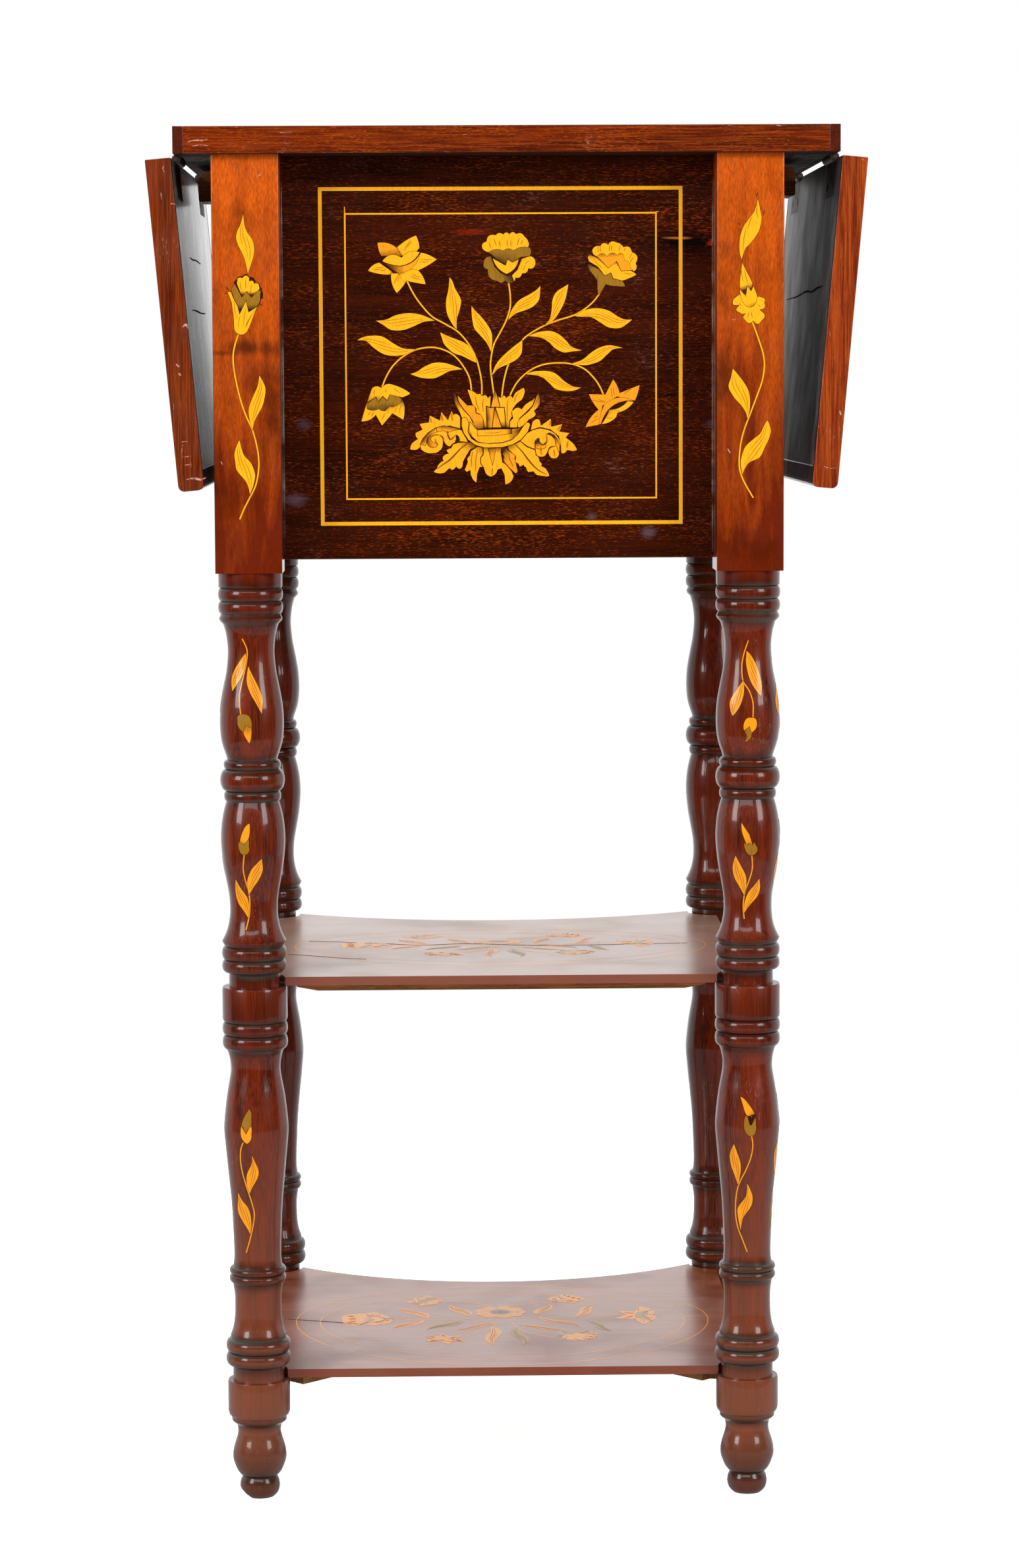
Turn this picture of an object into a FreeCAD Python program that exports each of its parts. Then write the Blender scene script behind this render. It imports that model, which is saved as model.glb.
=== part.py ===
import FreeCAD, Part
import math
import os

os.makedirs("parts", exist_ok=True)

V = FreeCAD.Vector
X_AXIS = V(1, 0, 0)
Y_AXIS = V(0, 1, 0)
Z_AXIS = V(0, 0, 1)
ORIGIN = V(0, 0, 0)

# Drop leaf side table with two drawers, in millimetres.
# The origin is on the floor, below the middle of the fixed top. +Z is up.
# -Y is the back with the marquetry panel, +Y is the drawer side.
# Left is -X and right is +X, as seen from the back.

# Overall sizes
overall_height = 780.0
top_width = 369.5
top_depth = 340.0
top_thickness = 15.0
top_shift_right = 5.0
top_shift_front = 7.5

# Legs
top_overhang_side = 25.5
top_overhang_end = 14.75
block_side = 37.5
block_height = 232.5
turning_radius = 18.5
lower_shelf_seat = 68.8
middle_shelf_seat = 296.7
broken_toe_reach = 4.0
broken_toe_slope = 38.0

# Top and leaves
end_lipping = 5.5
long_lipping = 12.0
leaf_length = 184.0
leaf_thickness = 14.3
leaf_corner_radius = 3.5
leaf_joint_gap = 0.8
top_dowel_diameter = 8.0
top_dowel_in_leg = 14.0
top_dowel_in_top = 9.0

# Leaf hinges
hinge_length = 50.0
hinge_end_distance = 58.0
hinge_plate_reach = 22.0
hinge_plate_thickness = 1.5
hinge_pin_drop = 1.2
hinge_pin_radius = 1.2
hinge_pin_fit = 0.05
hinge_barrel_radius = 2.5
hinge_barrel_count = 3
hinge_barrel_gap = 0.3
hinge_wood_clearance = 0.6
hinge_plate_clearance = 0.4

# Case
case_height = 226.0
back_panel_thickness = 7.5
side_panel_thickness = 15.0
side_panel_recess = 3.0
tongue_length = 6.0
back_tongue_thickness = 4.0
side_tongue_thickness = 5.0
rail_recess = 1.0
top_rail_height = 26.0
middle_rail_height = 15.0
bottom_rail_height = 15.0
tenon_length = 12.0
tenon_thickness = 10.0
tenon_shoulder = 3.0

# Lopers
loper_width = 40.0
loper_height = 17.0
loper_top_gap = 2.2
loper_protrusion = 18.75
loper_end_gap = 23.25
loper_spacing = 12.0
loper_nose_radius = 4.0
loper_foot_radius = 1.5
loper_side_clearance = 0.4
loper_bottom_clearance = 0.2
bearer_width = 20.0
bearer_drawer_clearance = 0.5
stop_peg_diameter = 6.0
stop_peg_drop = 4.0
stop_peg_inset = 18.0

# Drawers
drawer_side_clearance = 0.5
drawer_bottom_clearance = 0.3
drawer_top_clearance = 0.8
drawer_front_thickness = 18.0
drawer_side_thickness = 8.0
drawer_back_thickness = 8.0
drawer_side_drop = 3.0
drawer_end_gap = 10.0
drawer_bottom_thickness = 5.0
drawer_bottom_lift = 6.0
drawer_groove_depth = 4.0
dovetail_length = 12.0
dovetail_count = 3
dovetail_slope = 8.0
half_pin_height = 6.0
pin_narrow_width = 5.0
runner_thickness = 12.0
runner_bearing = 14.0
guide_height = 10.0
guide_clearance = 0.3
knob_radius = 12.0
knob_length = 21.0
knob_spigot_radius = 4.5
knob_spigot_length = 14.0

# Shelves
shelf_thickness = 5.0
shelf_bearing = 1.2
shelf_front_corner_reach = 16.0
middle_shelf_hollow = 50.0
lower_shelf_hollow = 64.0
shelf_dowel_diameter = 3.0
shelf_dowel_in_leg = 8.0
shelf_dowel_in_shelf = 10.0
batten_thickness = 3.0
batten_width = 22.0
batten_end_distance = 24.0
batten_cant_length = 12.0
batten_cant_thickness = 0.8
corner_bearer_width = 21.0
corner_bearer_length = 45.0
corner_bearer_thickness = 6.5
corner_bearer_setback = 25.0

# One overrun serves every cut that passes a face
overrun = 2.0

# Turned outlines, from the bottom up: a row of one pair is a straight, a row of two an arc through the first.
# Each pair is a share of turning_radius and a share of the height of its stretch of the leg.
foot_shares = [
    [(0.44, 0.0)],
    [(0.60, 0.065)],
    [(0.60, 0.13)],
    [(0.52, 0.175)],
    [(0.72, 0.245)],
    [(0.83, 0.36), (0.76, 0.465)],
    [(0.67, 0.54)],
    [(0.66, 0.60)],
    [(0.71, 0.645)],
    [(0.85, 0.675)],
    [(0.85, 0.695)],
    [(0.96, 0.745)],
    [(0.96, 0.985)],
    [(0.945, 1.0)],
]
lower_turning_shares = [
    [(0.80, 0.0)],
    [(0.80, 0.037)],
    [(0.88, 0.039)],
    [(1.0, 0.052)],
    [(1.0, 0.061)],
    [(0.905, 0.0725)],
    [(1.0, 0.084)],
    [(1.0, 0.093)],
    [(0.89, 0.1045)],
    [(0.865, 0.1045)],
    [(0.865, 0.114)],
    [(0.76, 0.14), (0.72, 0.19)],
    [(0.72, 0.225)],
    [(0.79, 0.251)],
    [(0.865, 0.2615)],
    [(0.80, 0.271)],
    [(0.865, 0.2805)],
    [(0.77, 0.290)],
    [(0.725, 0.345), (0.77, 0.43)],
    [(0.91, 0.55)],
    [(0.997, 0.638), (0.92, 0.715)],
    [(0.81, 0.762)],
    [(0.76, 0.797), (0.81, 0.829)],
    [(0.90, 0.838)],
    [(0.92, 0.846)],
    [(1.0, 0.858)],
    [(1.0, 0.868)],
    [(0.92, 0.879)],
    [(1.0, 0.890)],
    [(1.0, 0.900)],
    [(0.93, 0.911)],
    [(0.93, 0.915)],
    [(1.0, 0.922)],
    [(1.0, 0.995)],
    [(0.985, 1.0)],
]
upper_turning_shares = [
    [(0.79, 0.0)],
    [(0.79, 0.034)],
    [(0.88, 0.037)],
    [(0.99, 0.047)],
    [(0.99, 0.057)],
    [(0.91, 0.067)],
    [(0.99, 0.077)],
    [(0.99, 0.087)],
    [(0.91, 0.097)],
    [(0.98, 0.109)],
    [(0.98, 0.1155)],
    [(0.79, 0.146), (0.73, 0.195)],
    [(0.76, 0.232), (0.83, 0.265)],
    [(0.92, 0.305)],
    [(0.985, 0.366), (0.91, 0.417)],
    [(0.79, 0.449)],
    [(0.865, 0.463)],
    [(0.81, 0.474)],
    [(0.94, 0.482)],
    [(0.985, 0.494)],
    [(0.985, 0.506)],
    [(0.94, 0.518)],
    [(0.84, 0.526)],
    [(0.875, 0.538)],
    [(0.77, 0.549)],
    [(0.89, 0.578)],
    [(0.977, 0.637), (0.90, 0.704)],
    [(0.77, 0.762)],
    [(0.71, 0.81), (0.78, 0.86)],
    [(0.85, 0.877)],
    [(0.96, 0.888)],
    [(0.965, 0.894)],
    [(0.90, 0.902)],
    [(0.985, 0.912)],
    [(0.985, 0.921)],
    [(0.905, 0.931)],
    [(0.985, 0.941)],
    [(0.985, 0.950)],
    [(0.93, 0.960)],
    [(0.98, 0.964)],
    [(0.98, 1.0)],
]
foot_drum_share = 0.96
upper_drum_share = 1.0
lower_neck_share = 0.80
upper_neck_share = 0.79

# Turned knob: shares of knob_radius and of knob_length
knob_shares = [
    [(0.62, 0.0)],
    [(0.62, 0.08)],
    [(0.40, 0.18)],
    [(0.40, 0.34)],
    [(0.55, 0.46)],
    [(0.90, 0.52)],
    [(1.0, 0.64)],
    [(1.0, 0.74)],
    [(0.86, 0.88)],
    [(0.50, 0.975)],
    [(0.0, 1.0)],
]

# Places worked out from the sizes above
frame_x = -top_shift_right
frame_y = -top_shift_front
leg_pitch_x = top_width - top_overhang_side * 2 - block_side
leg_pitch_y = top_depth - top_overhang_end * 2 - block_side
under_top = overall_height - top_thickness
block_bottom = under_top - block_height
case_bottom = under_top - case_height
half_block = block_side / 2
half_pitch_x = leg_pitch_x / 2
half_pitch_y = leg_pitch_y / 2
inner_x = half_pitch_x - half_block
outer_x = half_pitch_x + half_block
inner_y = half_pitch_y - half_block
outer_y = half_pitch_y + half_block
side_inner_x = outer_x - side_panel_recess - side_panel_thickness
rail_front = outer_y - rail_recess
rail_depth = block_side - rail_recess
drawer_length = rail_front + inner_y - drawer_end_gap
loper_tip = outer_x - side_panel_recess + loper_protrusion
loper_length = loper_tip + side_inner_x - loper_end_gap
drawer_opening_top = under_top - top_rail_height
drawer_opening_bottom = case_bottom + bottom_rail_height
drawer_opening_height = (drawer_opening_top - drawer_opening_bottom - middle_rail_height) / 2
upper_opening_bottom = drawer_opening_top - drawer_opening_height
loper_top = under_top - loper_top_gap
loper_bottom = loper_top - loper_height
leaf_hang = math.degrees(math.atan2(hinge_pin_drop + leaf_thickness / 2, leaf_joint_gap + leaf_length / 2))
pin_x = top_width / 2
pin_z = under_top - hinge_pin_drop
hinge_places = (-top_depth / 2 + hinge_end_distance, top_depth / 2 - hinge_end_distance)
corners = {"back_left": (-1, -1), "back_right": (1, -1), "front_left": (-1, 1), "front_right": (1, 1)}


# Helpers

def save(node, *solids):
    """Write one sub-part, made of one solid or of several separate solids."""
    shape = solids[0] if len(solids) == 1 else Part.makeCompound(list(solids))
    shape.exportStep("parts/" + node + ".step")


def box(x_span, y_span, z_span):
    """Block between two corners, given as a span along each axis."""
    size = [max(span) - min(span) for span in (x_span, y_span, z_span)]
    return Part.makeBox(size[0], size[1], size[2], V(min(x_span), min(y_span), min(z_span)))


def in_frame(shape):
    """Move a shape from the middle of the legs to its place under the shifted top."""
    return shape.translated(V(frame_x, frame_y, 0))


def mirror_x(shape):
    return shape.mirror(ORIGIN, X_AXIS)


def polygon_bar(points, along):
    """Straight bar with a polygon as its section."""
    wire = Part.makePolygon(list(points) + [points[0]])
    return Part.Face(wire).extrude(along)


def outline_edges(shares, radius, height, base, start):
    """Edges of a turned outline in the XZ plane, with the point at which they end."""
    edges = []
    at = start
    for row in shares:
        points = [V(radius * r, 0, base + height * z) for r, z in row]
        if len(points) == 1:
            edges.append(Part.LineSegment(at, points[0]).toShape())
        else:
            edges.append(Part.Arc(at, points[0], points[1]).toShape())
        at = points[-1]
    return edges, at


def revolved(edges, last):
    """Solid of revolution about Z from edges that start on the axis and end at the given point."""
    closing = Part.LineSegment(last, V(0, 0, last.z)).toShape()
    axis = Part.LineSegment(V(0, 0, last.z), edges[0].Vertexes[0].Point).toShape()
    face = Part.Face(Part.Wire(edges + [closing, axis]))
    return face.revolve(ORIGIN, Z_AXIS, 360)


# Legs

def turned_leg():
    """The round part of a leg, from the floor to the block."""
    edges, at = outline_edges(foot_shares, turning_radius, lower_shelf_seat, 0, ORIGIN)
    stretch = middle_shelf_seat - lower_shelf_seat
    more, at = outline_edges(lower_turning_shares, turning_radius, stretch, lower_shelf_seat, at)
    edges += more
    stretch = block_bottom - middle_shelf_seat
    more, at = outline_edges(upper_turning_shares, turning_radius, stretch, middle_shelf_seat, at)
    return revolved(edges + more, at)


def leg_block():
    """Square block, left full where the turning ends, so that it stands on the round neck with a flat shoulder."""
    return box((-half_block, half_block), (-half_block, half_block), (block_bottom, under_top))


def broken_toe():
    """Wedge of air where the toe of the back left leg has broken off."""
    depth = turning_radius * 2
    cutter = box((-depth, 0), (-depth, depth), (-depth, 0))
    cutter.rotate(ORIGIN, Y_AXIS, broken_toe_slope)
    return cutter.translated(V(-broken_toe_reach, 0, 0))


def legs(cutters):
    """Four legs, each cut for what is let into it."""
    whole = turned_leg().fuse(leg_block()).removeSplitter()
    made = {}
    for name, (side_x, side_y) in corners.items():
        leg = whole.copy()
        if name == "back_left":
            leg = leg.cut(broken_toe())
        leg = leg.translated(V(frame_x + side_x * half_pitch_x, frame_y + side_y * half_pitch_y, 0))
        made[name] = leg.cut(cutters)
    return made


# Case: panels and rails

def back_panel():
    """Marquetry panel between the back blocks, flush with their inner faces, and its two tongues."""
    y_span = (-inner_y - back_panel_thickness, -inner_y)
    body = box((-inner_x, inner_x), y_span, (case_bottom, under_top))
    middle = -inner_y - back_panel_thickness / 2
    tongue_y = (middle - back_tongue_thickness / 2, middle + back_tongue_thickness / 2)
    tongues = []
    for side in (-1, 1):
        x_span = (side * inner_x, side * (inner_x + tongue_length))
        tongues.append(in_frame(box(x_span, tongue_y, (case_bottom, under_top))))
    return in_frame(body).fuse(tongues).removeSplitter(), tongues


def loper_y_span(side, clearance):
    """Width of the left (-1) or right (+1) loper, with a clearance on both sides."""
    near = side * loper_spacing / 2
    far = side * (loper_spacing / 2 + loper_width)
    return (-max(near, far) - clearance, -min(near, far) + clearance)


def side_panel(side):
    """Side of the case between two blocks, with its tongues and the notch for its loper."""
    x_span = (side * side_inner_x, side * (side_inner_x + side_panel_thickness))
    body = box(x_span, (-inner_y, inner_y), (case_bottom, under_top))
    middle = side * (side_inner_x + side_panel_thickness / 2)
    tongue_x = (middle - side_tongue_thickness / 2, middle + side_tongue_thickness / 2)
    tongues = []
    for end in (-1, 1):
        y_span = (end * inner_y, end * (inner_y + tongue_length))
        tongues.append(in_frame(box(tongue_x, y_span, (case_bottom, under_top))))
    notch_x = (side * (side_inner_x - overrun), side * (outer_x + overrun))
    notch_z = (loper_bottom - loper_bottom_clearance, under_top + overrun)
    notch = box(notch_x, loper_y_span(side, loper_side_clearance), notch_z)
    panel = in_frame(body.cut(notch)).fuse(tongues).removeSplitter()
    return panel, tongues


def front_rail(z_bottom, height):
    """Rail of the drawer side, with a tenon at each end."""
    z_span = (z_bottom, z_bottom + height)
    body = box((-inner_x, inner_x), (rail_front - rail_depth, rail_front), z_span)
    middle = rail_front - rail_depth / 2
    tenon_y = (middle - tenon_thickness / 2, middle + tenon_thickness / 2)
    tenon_z = (z_bottom + tenon_shoulder, z_bottom + height - tenon_shoulder)
    tenons = []
    for side in (-1, 1):
        x_span = (side * inner_x, side * (inner_x + tenon_length))
        tenons.append(in_frame(box(x_span, tenon_y, tenon_z)))
    return in_frame(body).fuse(tenons).removeSplitter(), tenons


def loper_bearer():
    """Cross bar from the back panel to the top rail, notched for the two lopers."""
    z_span = (drawer_opening_top + bearer_drawer_clearance, under_top)
    half = bearer_width / 2
    bar = box((-half, half), (-inner_y, rail_front - rail_depth), z_span)
    notch_x = (-half - overrun, half + overrun)
    notch_z = (loper_bottom - loper_bottom_clearance, under_top + overrun)
    for side in (-1, 1):
        bar = bar.cut(box(notch_x, loper_y_span(side, loper_side_clearance), notch_z))
    return in_frame(bar)


def drawer_runner(side, opening_bottom):
    """Runner that carries one drawer side, and the guide strip that keeps the drawer straight."""
    y_span = (-inner_y, inner_y)
    x_span = (side * (inner_x - runner_bearing), side * side_inner_x)
    runner = box(x_span, y_span, (opening_bottom - runner_thickness, opening_bottom))
    guide_x = (side * (inner_x + guide_clearance), side * side_inner_x)
    guide = box(guide_x, y_span, (opening_bottom, opening_bottom + guide_height))
    return in_frame(runner), in_frame(guide)


# Lopers

def loper(side):
    """Sliding bar that holds a leaf up, rounded at its outer end, and its stop peg."""
    tail = loper_tip - loper_length
    bar = box((side * loper_tip, side * tail), loper_y_span(side, 0), (loper_bottom, loper_top))
    bar = rounded_end(bar, side * loper_tip, loper_top, loper_nose_radius)
    bar = rounded_end(bar, side * loper_tip, loper_bottom, loper_foot_radius)
    peg_x = side * (tail + stop_peg_inset)
    peg_y = -side * (loper_spacing + loper_width) / 2
    peg_height = loper_height + stop_peg_drop
    peg = Part.makeCylinder(stop_peg_diameter / 2, peg_height, V(peg_x, peg_y, loper_bottom - stop_peg_drop))
    return in_frame(bar.cut(peg)), in_frame(peg)


def rounded_end(bar, x, z, radius):
    """Round the edge that lies along Y at this x and z."""
    chosen = []
    for edge in bar.Edges:
        place = edge.CenterOfMass
        if abs(place.x - x) < overrun / 10 and abs(place.z - z) < overrun / 10:
            chosen.append(edge)
    return bar.makeFillet(radius, chosen)


# Top

def top_boards():
    """Top board with a lipping on each edge. The end lippings run past the long ones."""
    half_x = top_width / 2
    half_y = top_depth / 2
    z_span = (under_top, overall_height)
    core_x = half_x - end_lipping
    core_y = half_y - long_lipping
    return {
        "top_panel": box((-core_x, core_x), (-core_y, core_y), z_span),
        "top_lipping_left": box((-half_x, -core_x), (-half_y, half_y), z_span),
        "top_lipping_right": box((core_x, half_x), (-half_y, half_y), z_span),
        "top_lipping_back": box((-core_x, core_x), (-half_y, -core_y), z_span),
        "top_lipping_front": box((-core_x, core_x), (core_y, half_y), z_span),
    }


def top_dowels():
    """One dowel from the middle of each leg block into the top."""
    pegs = []
    for side_x, side_y in corners.values():
        place = V(side_x * half_pitch_x, side_y * half_pitch_y, under_top - top_dowel_in_leg)
        pegs.append(Part.makeCylinder(top_dowel_diameter / 2, top_dowel_in_leg + top_dowel_in_top, place))
    return [in_frame(peg) for peg in pegs]


# Leaves and hinges, drawn for the right side with the leaf level and the pin at the origin.
# Outwards is +X. The wood starts hinge_pin_drop above the pin.

def leaf_boards():
    """Board of a leaf with a lipping at each end and along its outer edge."""
    half_y = top_depth / 2
    near = leaf_joint_gap
    far = leaf_joint_gap + leaf_length
    z_span = (hinge_pin_drop, hinge_pin_drop + leaf_thickness)
    core_far = far - long_lipping
    core_y = half_y - end_lipping
    outer = box((core_far, far), (-core_y, core_y), z_span)
    outer = rounded_edge(outer, far)
    ends = []
    for side in (-1, 1):
        end = box((near, far), (side * core_y, side * half_y), z_span)
        ends.append(rounded_edge(end, far))
    core = box((near, core_far), (-core_y, core_y), z_span)
    return {"panel": [core], "end_lippings": ends, "outer_lipping": [outer]}


def rounded_edge(board, x):
    """Round the two long edges of a leaf piece at its outer side."""
    edges = [edge for edge in board.Edges
             if abs(edge.CenterOfMass.x - x) < overrun / 10 and abs(edge.tangentAt(edge.FirstParameter).y) > 0.9]
    return board.makeFillet(leaf_corner_radius, edges)


def hinge_knuckles(turn):
    """Barrels along Y about the pin. Even ones belong to the top plate, odd ones to the leaf plate."""
    pitch = hinge_length / hinge_barrel_count
    bore = hinge_pin_radius + hinge_pin_fit
    barrels = []
    for index in range(turn, hinge_barrel_count, 2):
        start = -hinge_length / 2 + pitch * index + hinge_barrel_gap / 2
        length = pitch - hinge_barrel_gap
        barrel = Part.makeCylinder(hinge_barrel_radius, length, V(0, start, 0), Y_AXIS)
        barrels.append((start, length, barrel.cut(Part.makeCylinder(bore, length, V(0, start, 0), Y_AXIS))))
    return barrels


def hinge_plate(turn, outwards):
    """One plate of a hinge with its barrels."""
    z_span = (hinge_pin_drop, hinge_pin_drop + hinge_plate_thickness)
    near = hinge_barrel_radius + hinge_plate_clearance
    plate = box((outwards * near, outwards * hinge_plate_reach), (-hinge_length / 2, hinge_length / 2), z_span)
    bore = Part.makeCylinder(hinge_pin_radius + hinge_pin_fit, hinge_length, V(0, -hinge_length / 2, 0), Y_AXIS)
    for start, length, barrel in hinge_knuckles(turn):
        tab = box((0, outwards * near), (start, start + length), z_span)
        plate = plate.fuse(tab.fuse(barrel))
    return plate.cut(bore).removeSplitter()


def hinge_recess():
    """Room for the knuckles in the wood beside the pin."""
    radius = hinge_pin_drop + hinge_plate_thickness + hinge_plate_clearance
    length = hinge_length + hinge_wood_clearance
    return Part.makeCylinder(radius, length, V(0, -length / 2, 0), Y_AXIS)


def plate_recess(outwards):
    """Shallow bed for one plate."""
    z_span = (hinge_pin_drop - overrun, hinge_pin_drop + hinge_plate_thickness)
    return box((0, outwards * hinge_plate_reach), (-hinge_length / 2, hinge_length / 2), z_span)


def at_hinges(shape):
    """Copy a shape to both hinge places along the leaf."""
    return [shape.translated(V(0, y, 0)) for y in hinge_places]


def on_top(shape, side):
    """Move a hinge shape from the pin frame to the right or left edge of the top."""
    placed = shape.translated(V(pin_x, 0, pin_z))
    return placed if side > 0 else mirror_x(placed)


def hanging(shape, side):
    """Move a leaf shape from the pin frame to its place as it hangs under its own weight."""
    turned = shape.copy()
    turned.rotate(ORIGIN, Y_AXIS, 90 + leaf_hang)
    return on_top(turned, side)


# Drawers

def dovetailed_side(y_front, y_back, z_span):
    """Drawer side as a flat outline in the YZ plane, with tails at its front end."""
    x_span = (-overrun, drawer_side_thickness + overrun)
    board = box((0, drawer_side_thickness), (y_back, y_front), z_span)
    pin_pitch = (max(z_span) - min(z_span) - half_pin_height * 2 + pin_narrow_width) / dovetail_count
    root = y_front - dovetail_length
    widening = dovetail_length * math.tan(math.radians(dovetail_slope))
    narrow = pin_narrow_width / 2
    sockets = []
    for index in range(dovetail_count + 1):
        middle = min(z_span) + half_pin_height - narrow + pin_pitch * index
        low = middle - narrow
        high = middle + narrow
        if index == 0:
            low = min(z_span) - overrun
        if index == dovetail_count:
            high = max(z_span) + overrun
        points = [
            V(min(x_span), y_front + overrun, low),
            V(min(x_span), y_front, low),
            V(min(x_span), root, low - widening),
            V(min(x_span), root, high + widening),
            V(min(x_span), y_front, high),
            V(min(x_span), y_front + overrun, high),
        ]
        sockets.append(polygon_bar(points, V(max(x_span) - min(x_span), 0, 0)))
    return board.cut(sockets)


def drawer(opening_bottom):
    """All wooden pieces of one drawer, and its knob."""
    half_x = inner_x - drawer_side_clearance
    front_face = rail_front
    front_back = rail_front - drawer_front_thickness
    z_low = opening_bottom + drawer_bottom_clearance
    z_high = opening_bottom + drawer_opening_height - drawer_top_clearance
    y_end = front_face - drawer_length
    side_z = (z_low, z_high - drawer_side_drop)
    flat = dovetailed_side(front_back + dovetail_length, y_end, side_z)
    right = flat.translated(V(half_x - drawer_side_thickness, 0, 0))
    sides = [mirror_x(right), right]
    board_x = half_x - drawer_side_thickness
    board_z = (z_low + drawer_bottom_lift, z_low + drawer_bottom_lift + drawer_bottom_thickness)
    groove_x = board_x + drawer_groove_depth
    bottom = box((-groove_x, groove_x), (y_end, front_back + drawer_groove_depth), board_z)
    back_z = (max(board_z), max(side_z) - drawer_side_drop)
    back = box((-board_x, board_x), (y_end, y_end + drawer_back_thickness), back_z)
    front = box((-half_x, half_x), (front_back, front_face), (z_low, z_high))
    knob = drawer_knob(front_face, (z_low + z_high) / 2)
    pieces = {
        "front": [front.cut(sides + [bottom, knob])],
        "sides": [side.cut(bottom) for side in sides],
        "back": [back],
        "bottom": [bottom],
        "knob": [knob],
    }
    return {name: [in_frame(shape) for shape in shapes] for name, shapes in pieces.items()}


def drawer_knob(face_y, z):
    """Turned knob with a spigot that is glued into the drawer front."""
    spigot_start = -knob_spigot_length
    foot = V(knob_spigot_radius, 0, spigot_start)
    edges = [
        Part.LineSegment(V(0, 0, spigot_start), foot).toShape(),
        Part.LineSegment(foot, V(knob_spigot_radius, 0, 0)).toShape(),
    ]
    more, at = outline_edges(knob_shares, knob_radius, knob_length, 0, V(knob_spigot_radius, 0, 0))
    closing = Part.LineSegment(at, V(0, 0, spigot_start)).toShape()
    knob = Part.Face(Part.Wire(edges + more + [closing])).revolve(ORIGIN, Z_AXIS, 360)
    knob.rotate(ORIGIN, X_AXIS, -90)
    return knob.translated(V(0, face_y, z))


# Shelves

def shelf(seat, hollow, drum_radius, dowels):
    """Thin shelf, straight at the back and hollow at the front, notched round the four necks."""
    front_y = half_pitch_y + shelf_front_corner_reach
    back_left = V(-half_pitch_x, -half_pitch_y, seat)
    back_right = V(half_pitch_x, -half_pitch_y, seat)
    front_left = V(-half_pitch_x, front_y, seat)
    front_right = V(half_pitch_x, front_y, seat)
    edges = [
        Part.LineSegment(back_left, back_right).toShape(),
        Part.LineSegment(back_right, front_right).toShape(),
        Part.Arc(front_right, V(0, front_y - hollow, seat), front_left).toShape(),
        Part.LineSegment(front_left, back_left).toShape(),
    ]
    board = Part.Face(Part.Wire(edges)).extrude(V(0, 0, shelf_thickness))
    notches = []
    for side_x, side_y in corners.values():
        place = V(side_x * half_pitch_x, side_y * half_pitch_y, seat - overrun)
        notches.append(Part.makeCylinder(drum_radius - shelf_bearing, shelf_thickness + overrun * 2, place))
    return in_frame(board.cut(notches)).cut(dowels)


def shelf_dowels(seat, drum_radius, neck_radius):
    """One thin dowel at each corner, from the neck of the leg across the notch into the shelf."""
    pegs = []
    for side_x, side_y in corners.values():
        inwards = V(-side_x, -side_y, 0).normalize()
        axis = V(side_x * half_pitch_x, side_y * half_pitch_y, seat + shelf_thickness / 2)
        start = axis + inwards * (neck_radius - shelf_dowel_in_leg)
        length = drum_radius - shelf_bearing + shelf_dowel_in_shelf - (neck_radius - shelf_dowel_in_leg)
        pegs.append(in_frame(Part.makeCylinder(shelf_dowel_diameter / 2, length, start, inwards)))
    return pegs


def shelf_batten():
    """Batten under the back edge of the middle shelf, canted off at both ends."""
    top = middle_shelf_seat
    end = half_pitch_x - batten_end_distance
    full = end - batten_cant_length
    points = [
        V(-end, -half_pitch_y, top),
        V(end, -half_pitch_y, top),
        V(end, -half_pitch_y, top - batten_cant_thickness),
        V(full, -half_pitch_y, top - batten_thickness),
        V(-full, -half_pitch_y, top - batten_thickness),
        V(-end, -half_pitch_y, top - batten_cant_thickness),
    ]
    return in_frame(polygon_bar(points, V(0, batten_width, 0)))


def corner_bearers():
    """Short diagonal bearers under the corners of the lower shelf."""
    bearers = []
    for side_x, side_y in corners.values():
        x_span = (corner_bearer_setback, corner_bearer_setback + corner_bearer_length)
        y_span = (-corner_bearer_width / 2, corner_bearer_width / 2)
        bar = box(x_span, y_span, (lower_shelf_seat - corner_bearer_thickness, lower_shelf_seat))
        bar.rotate(ORIGIN, Z_AXIS, math.degrees(math.atan2(-side_y, -side_x)))
        bearers.append(in_frame(bar.translated(V(side_x * half_pitch_x, side_y * half_pitch_y, 0))))
    return bearers


# Assembly

def build_case():
    """Legs, panels, rails, shelves and what joins them."""
    panel, let_in = back_panel()
    save("back_panel", panel)
    for name, side in (("left", -1), ("right", 1)):
        panel, tongues = side_panel(side)
        save("side_panel_" + name, panel)
        let_in = let_in + tongues
    rails = (
        ("top_rail", drawer_opening_top, top_rail_height),
        ("middle_rail", upper_opening_bottom - middle_rail_height, middle_rail_height),
        ("bottom_rail", case_bottom, bottom_rail_height),
    )
    for name, z_bottom, height in rails:
        rail, tenons = front_rail(z_bottom, height)
        save(name, rail)
        let_in = let_in + tenons
    save("loper_bearer", loper_bearer())
    for level, opening in (("upper", upper_opening_bottom), ("lower", drawer_opening_bottom)):
        for name, side in (("left", -1), ("right", 1)):
            save(level + "_runner_" + name, *drawer_runner(side, opening))
    let_in = let_in + build_shelves()
    pegs = top_dowels()
    save("top_dowels", *pegs)
    for name, leg in legs(let_in + pegs).items():
        save("leg_" + name, leg)


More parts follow.
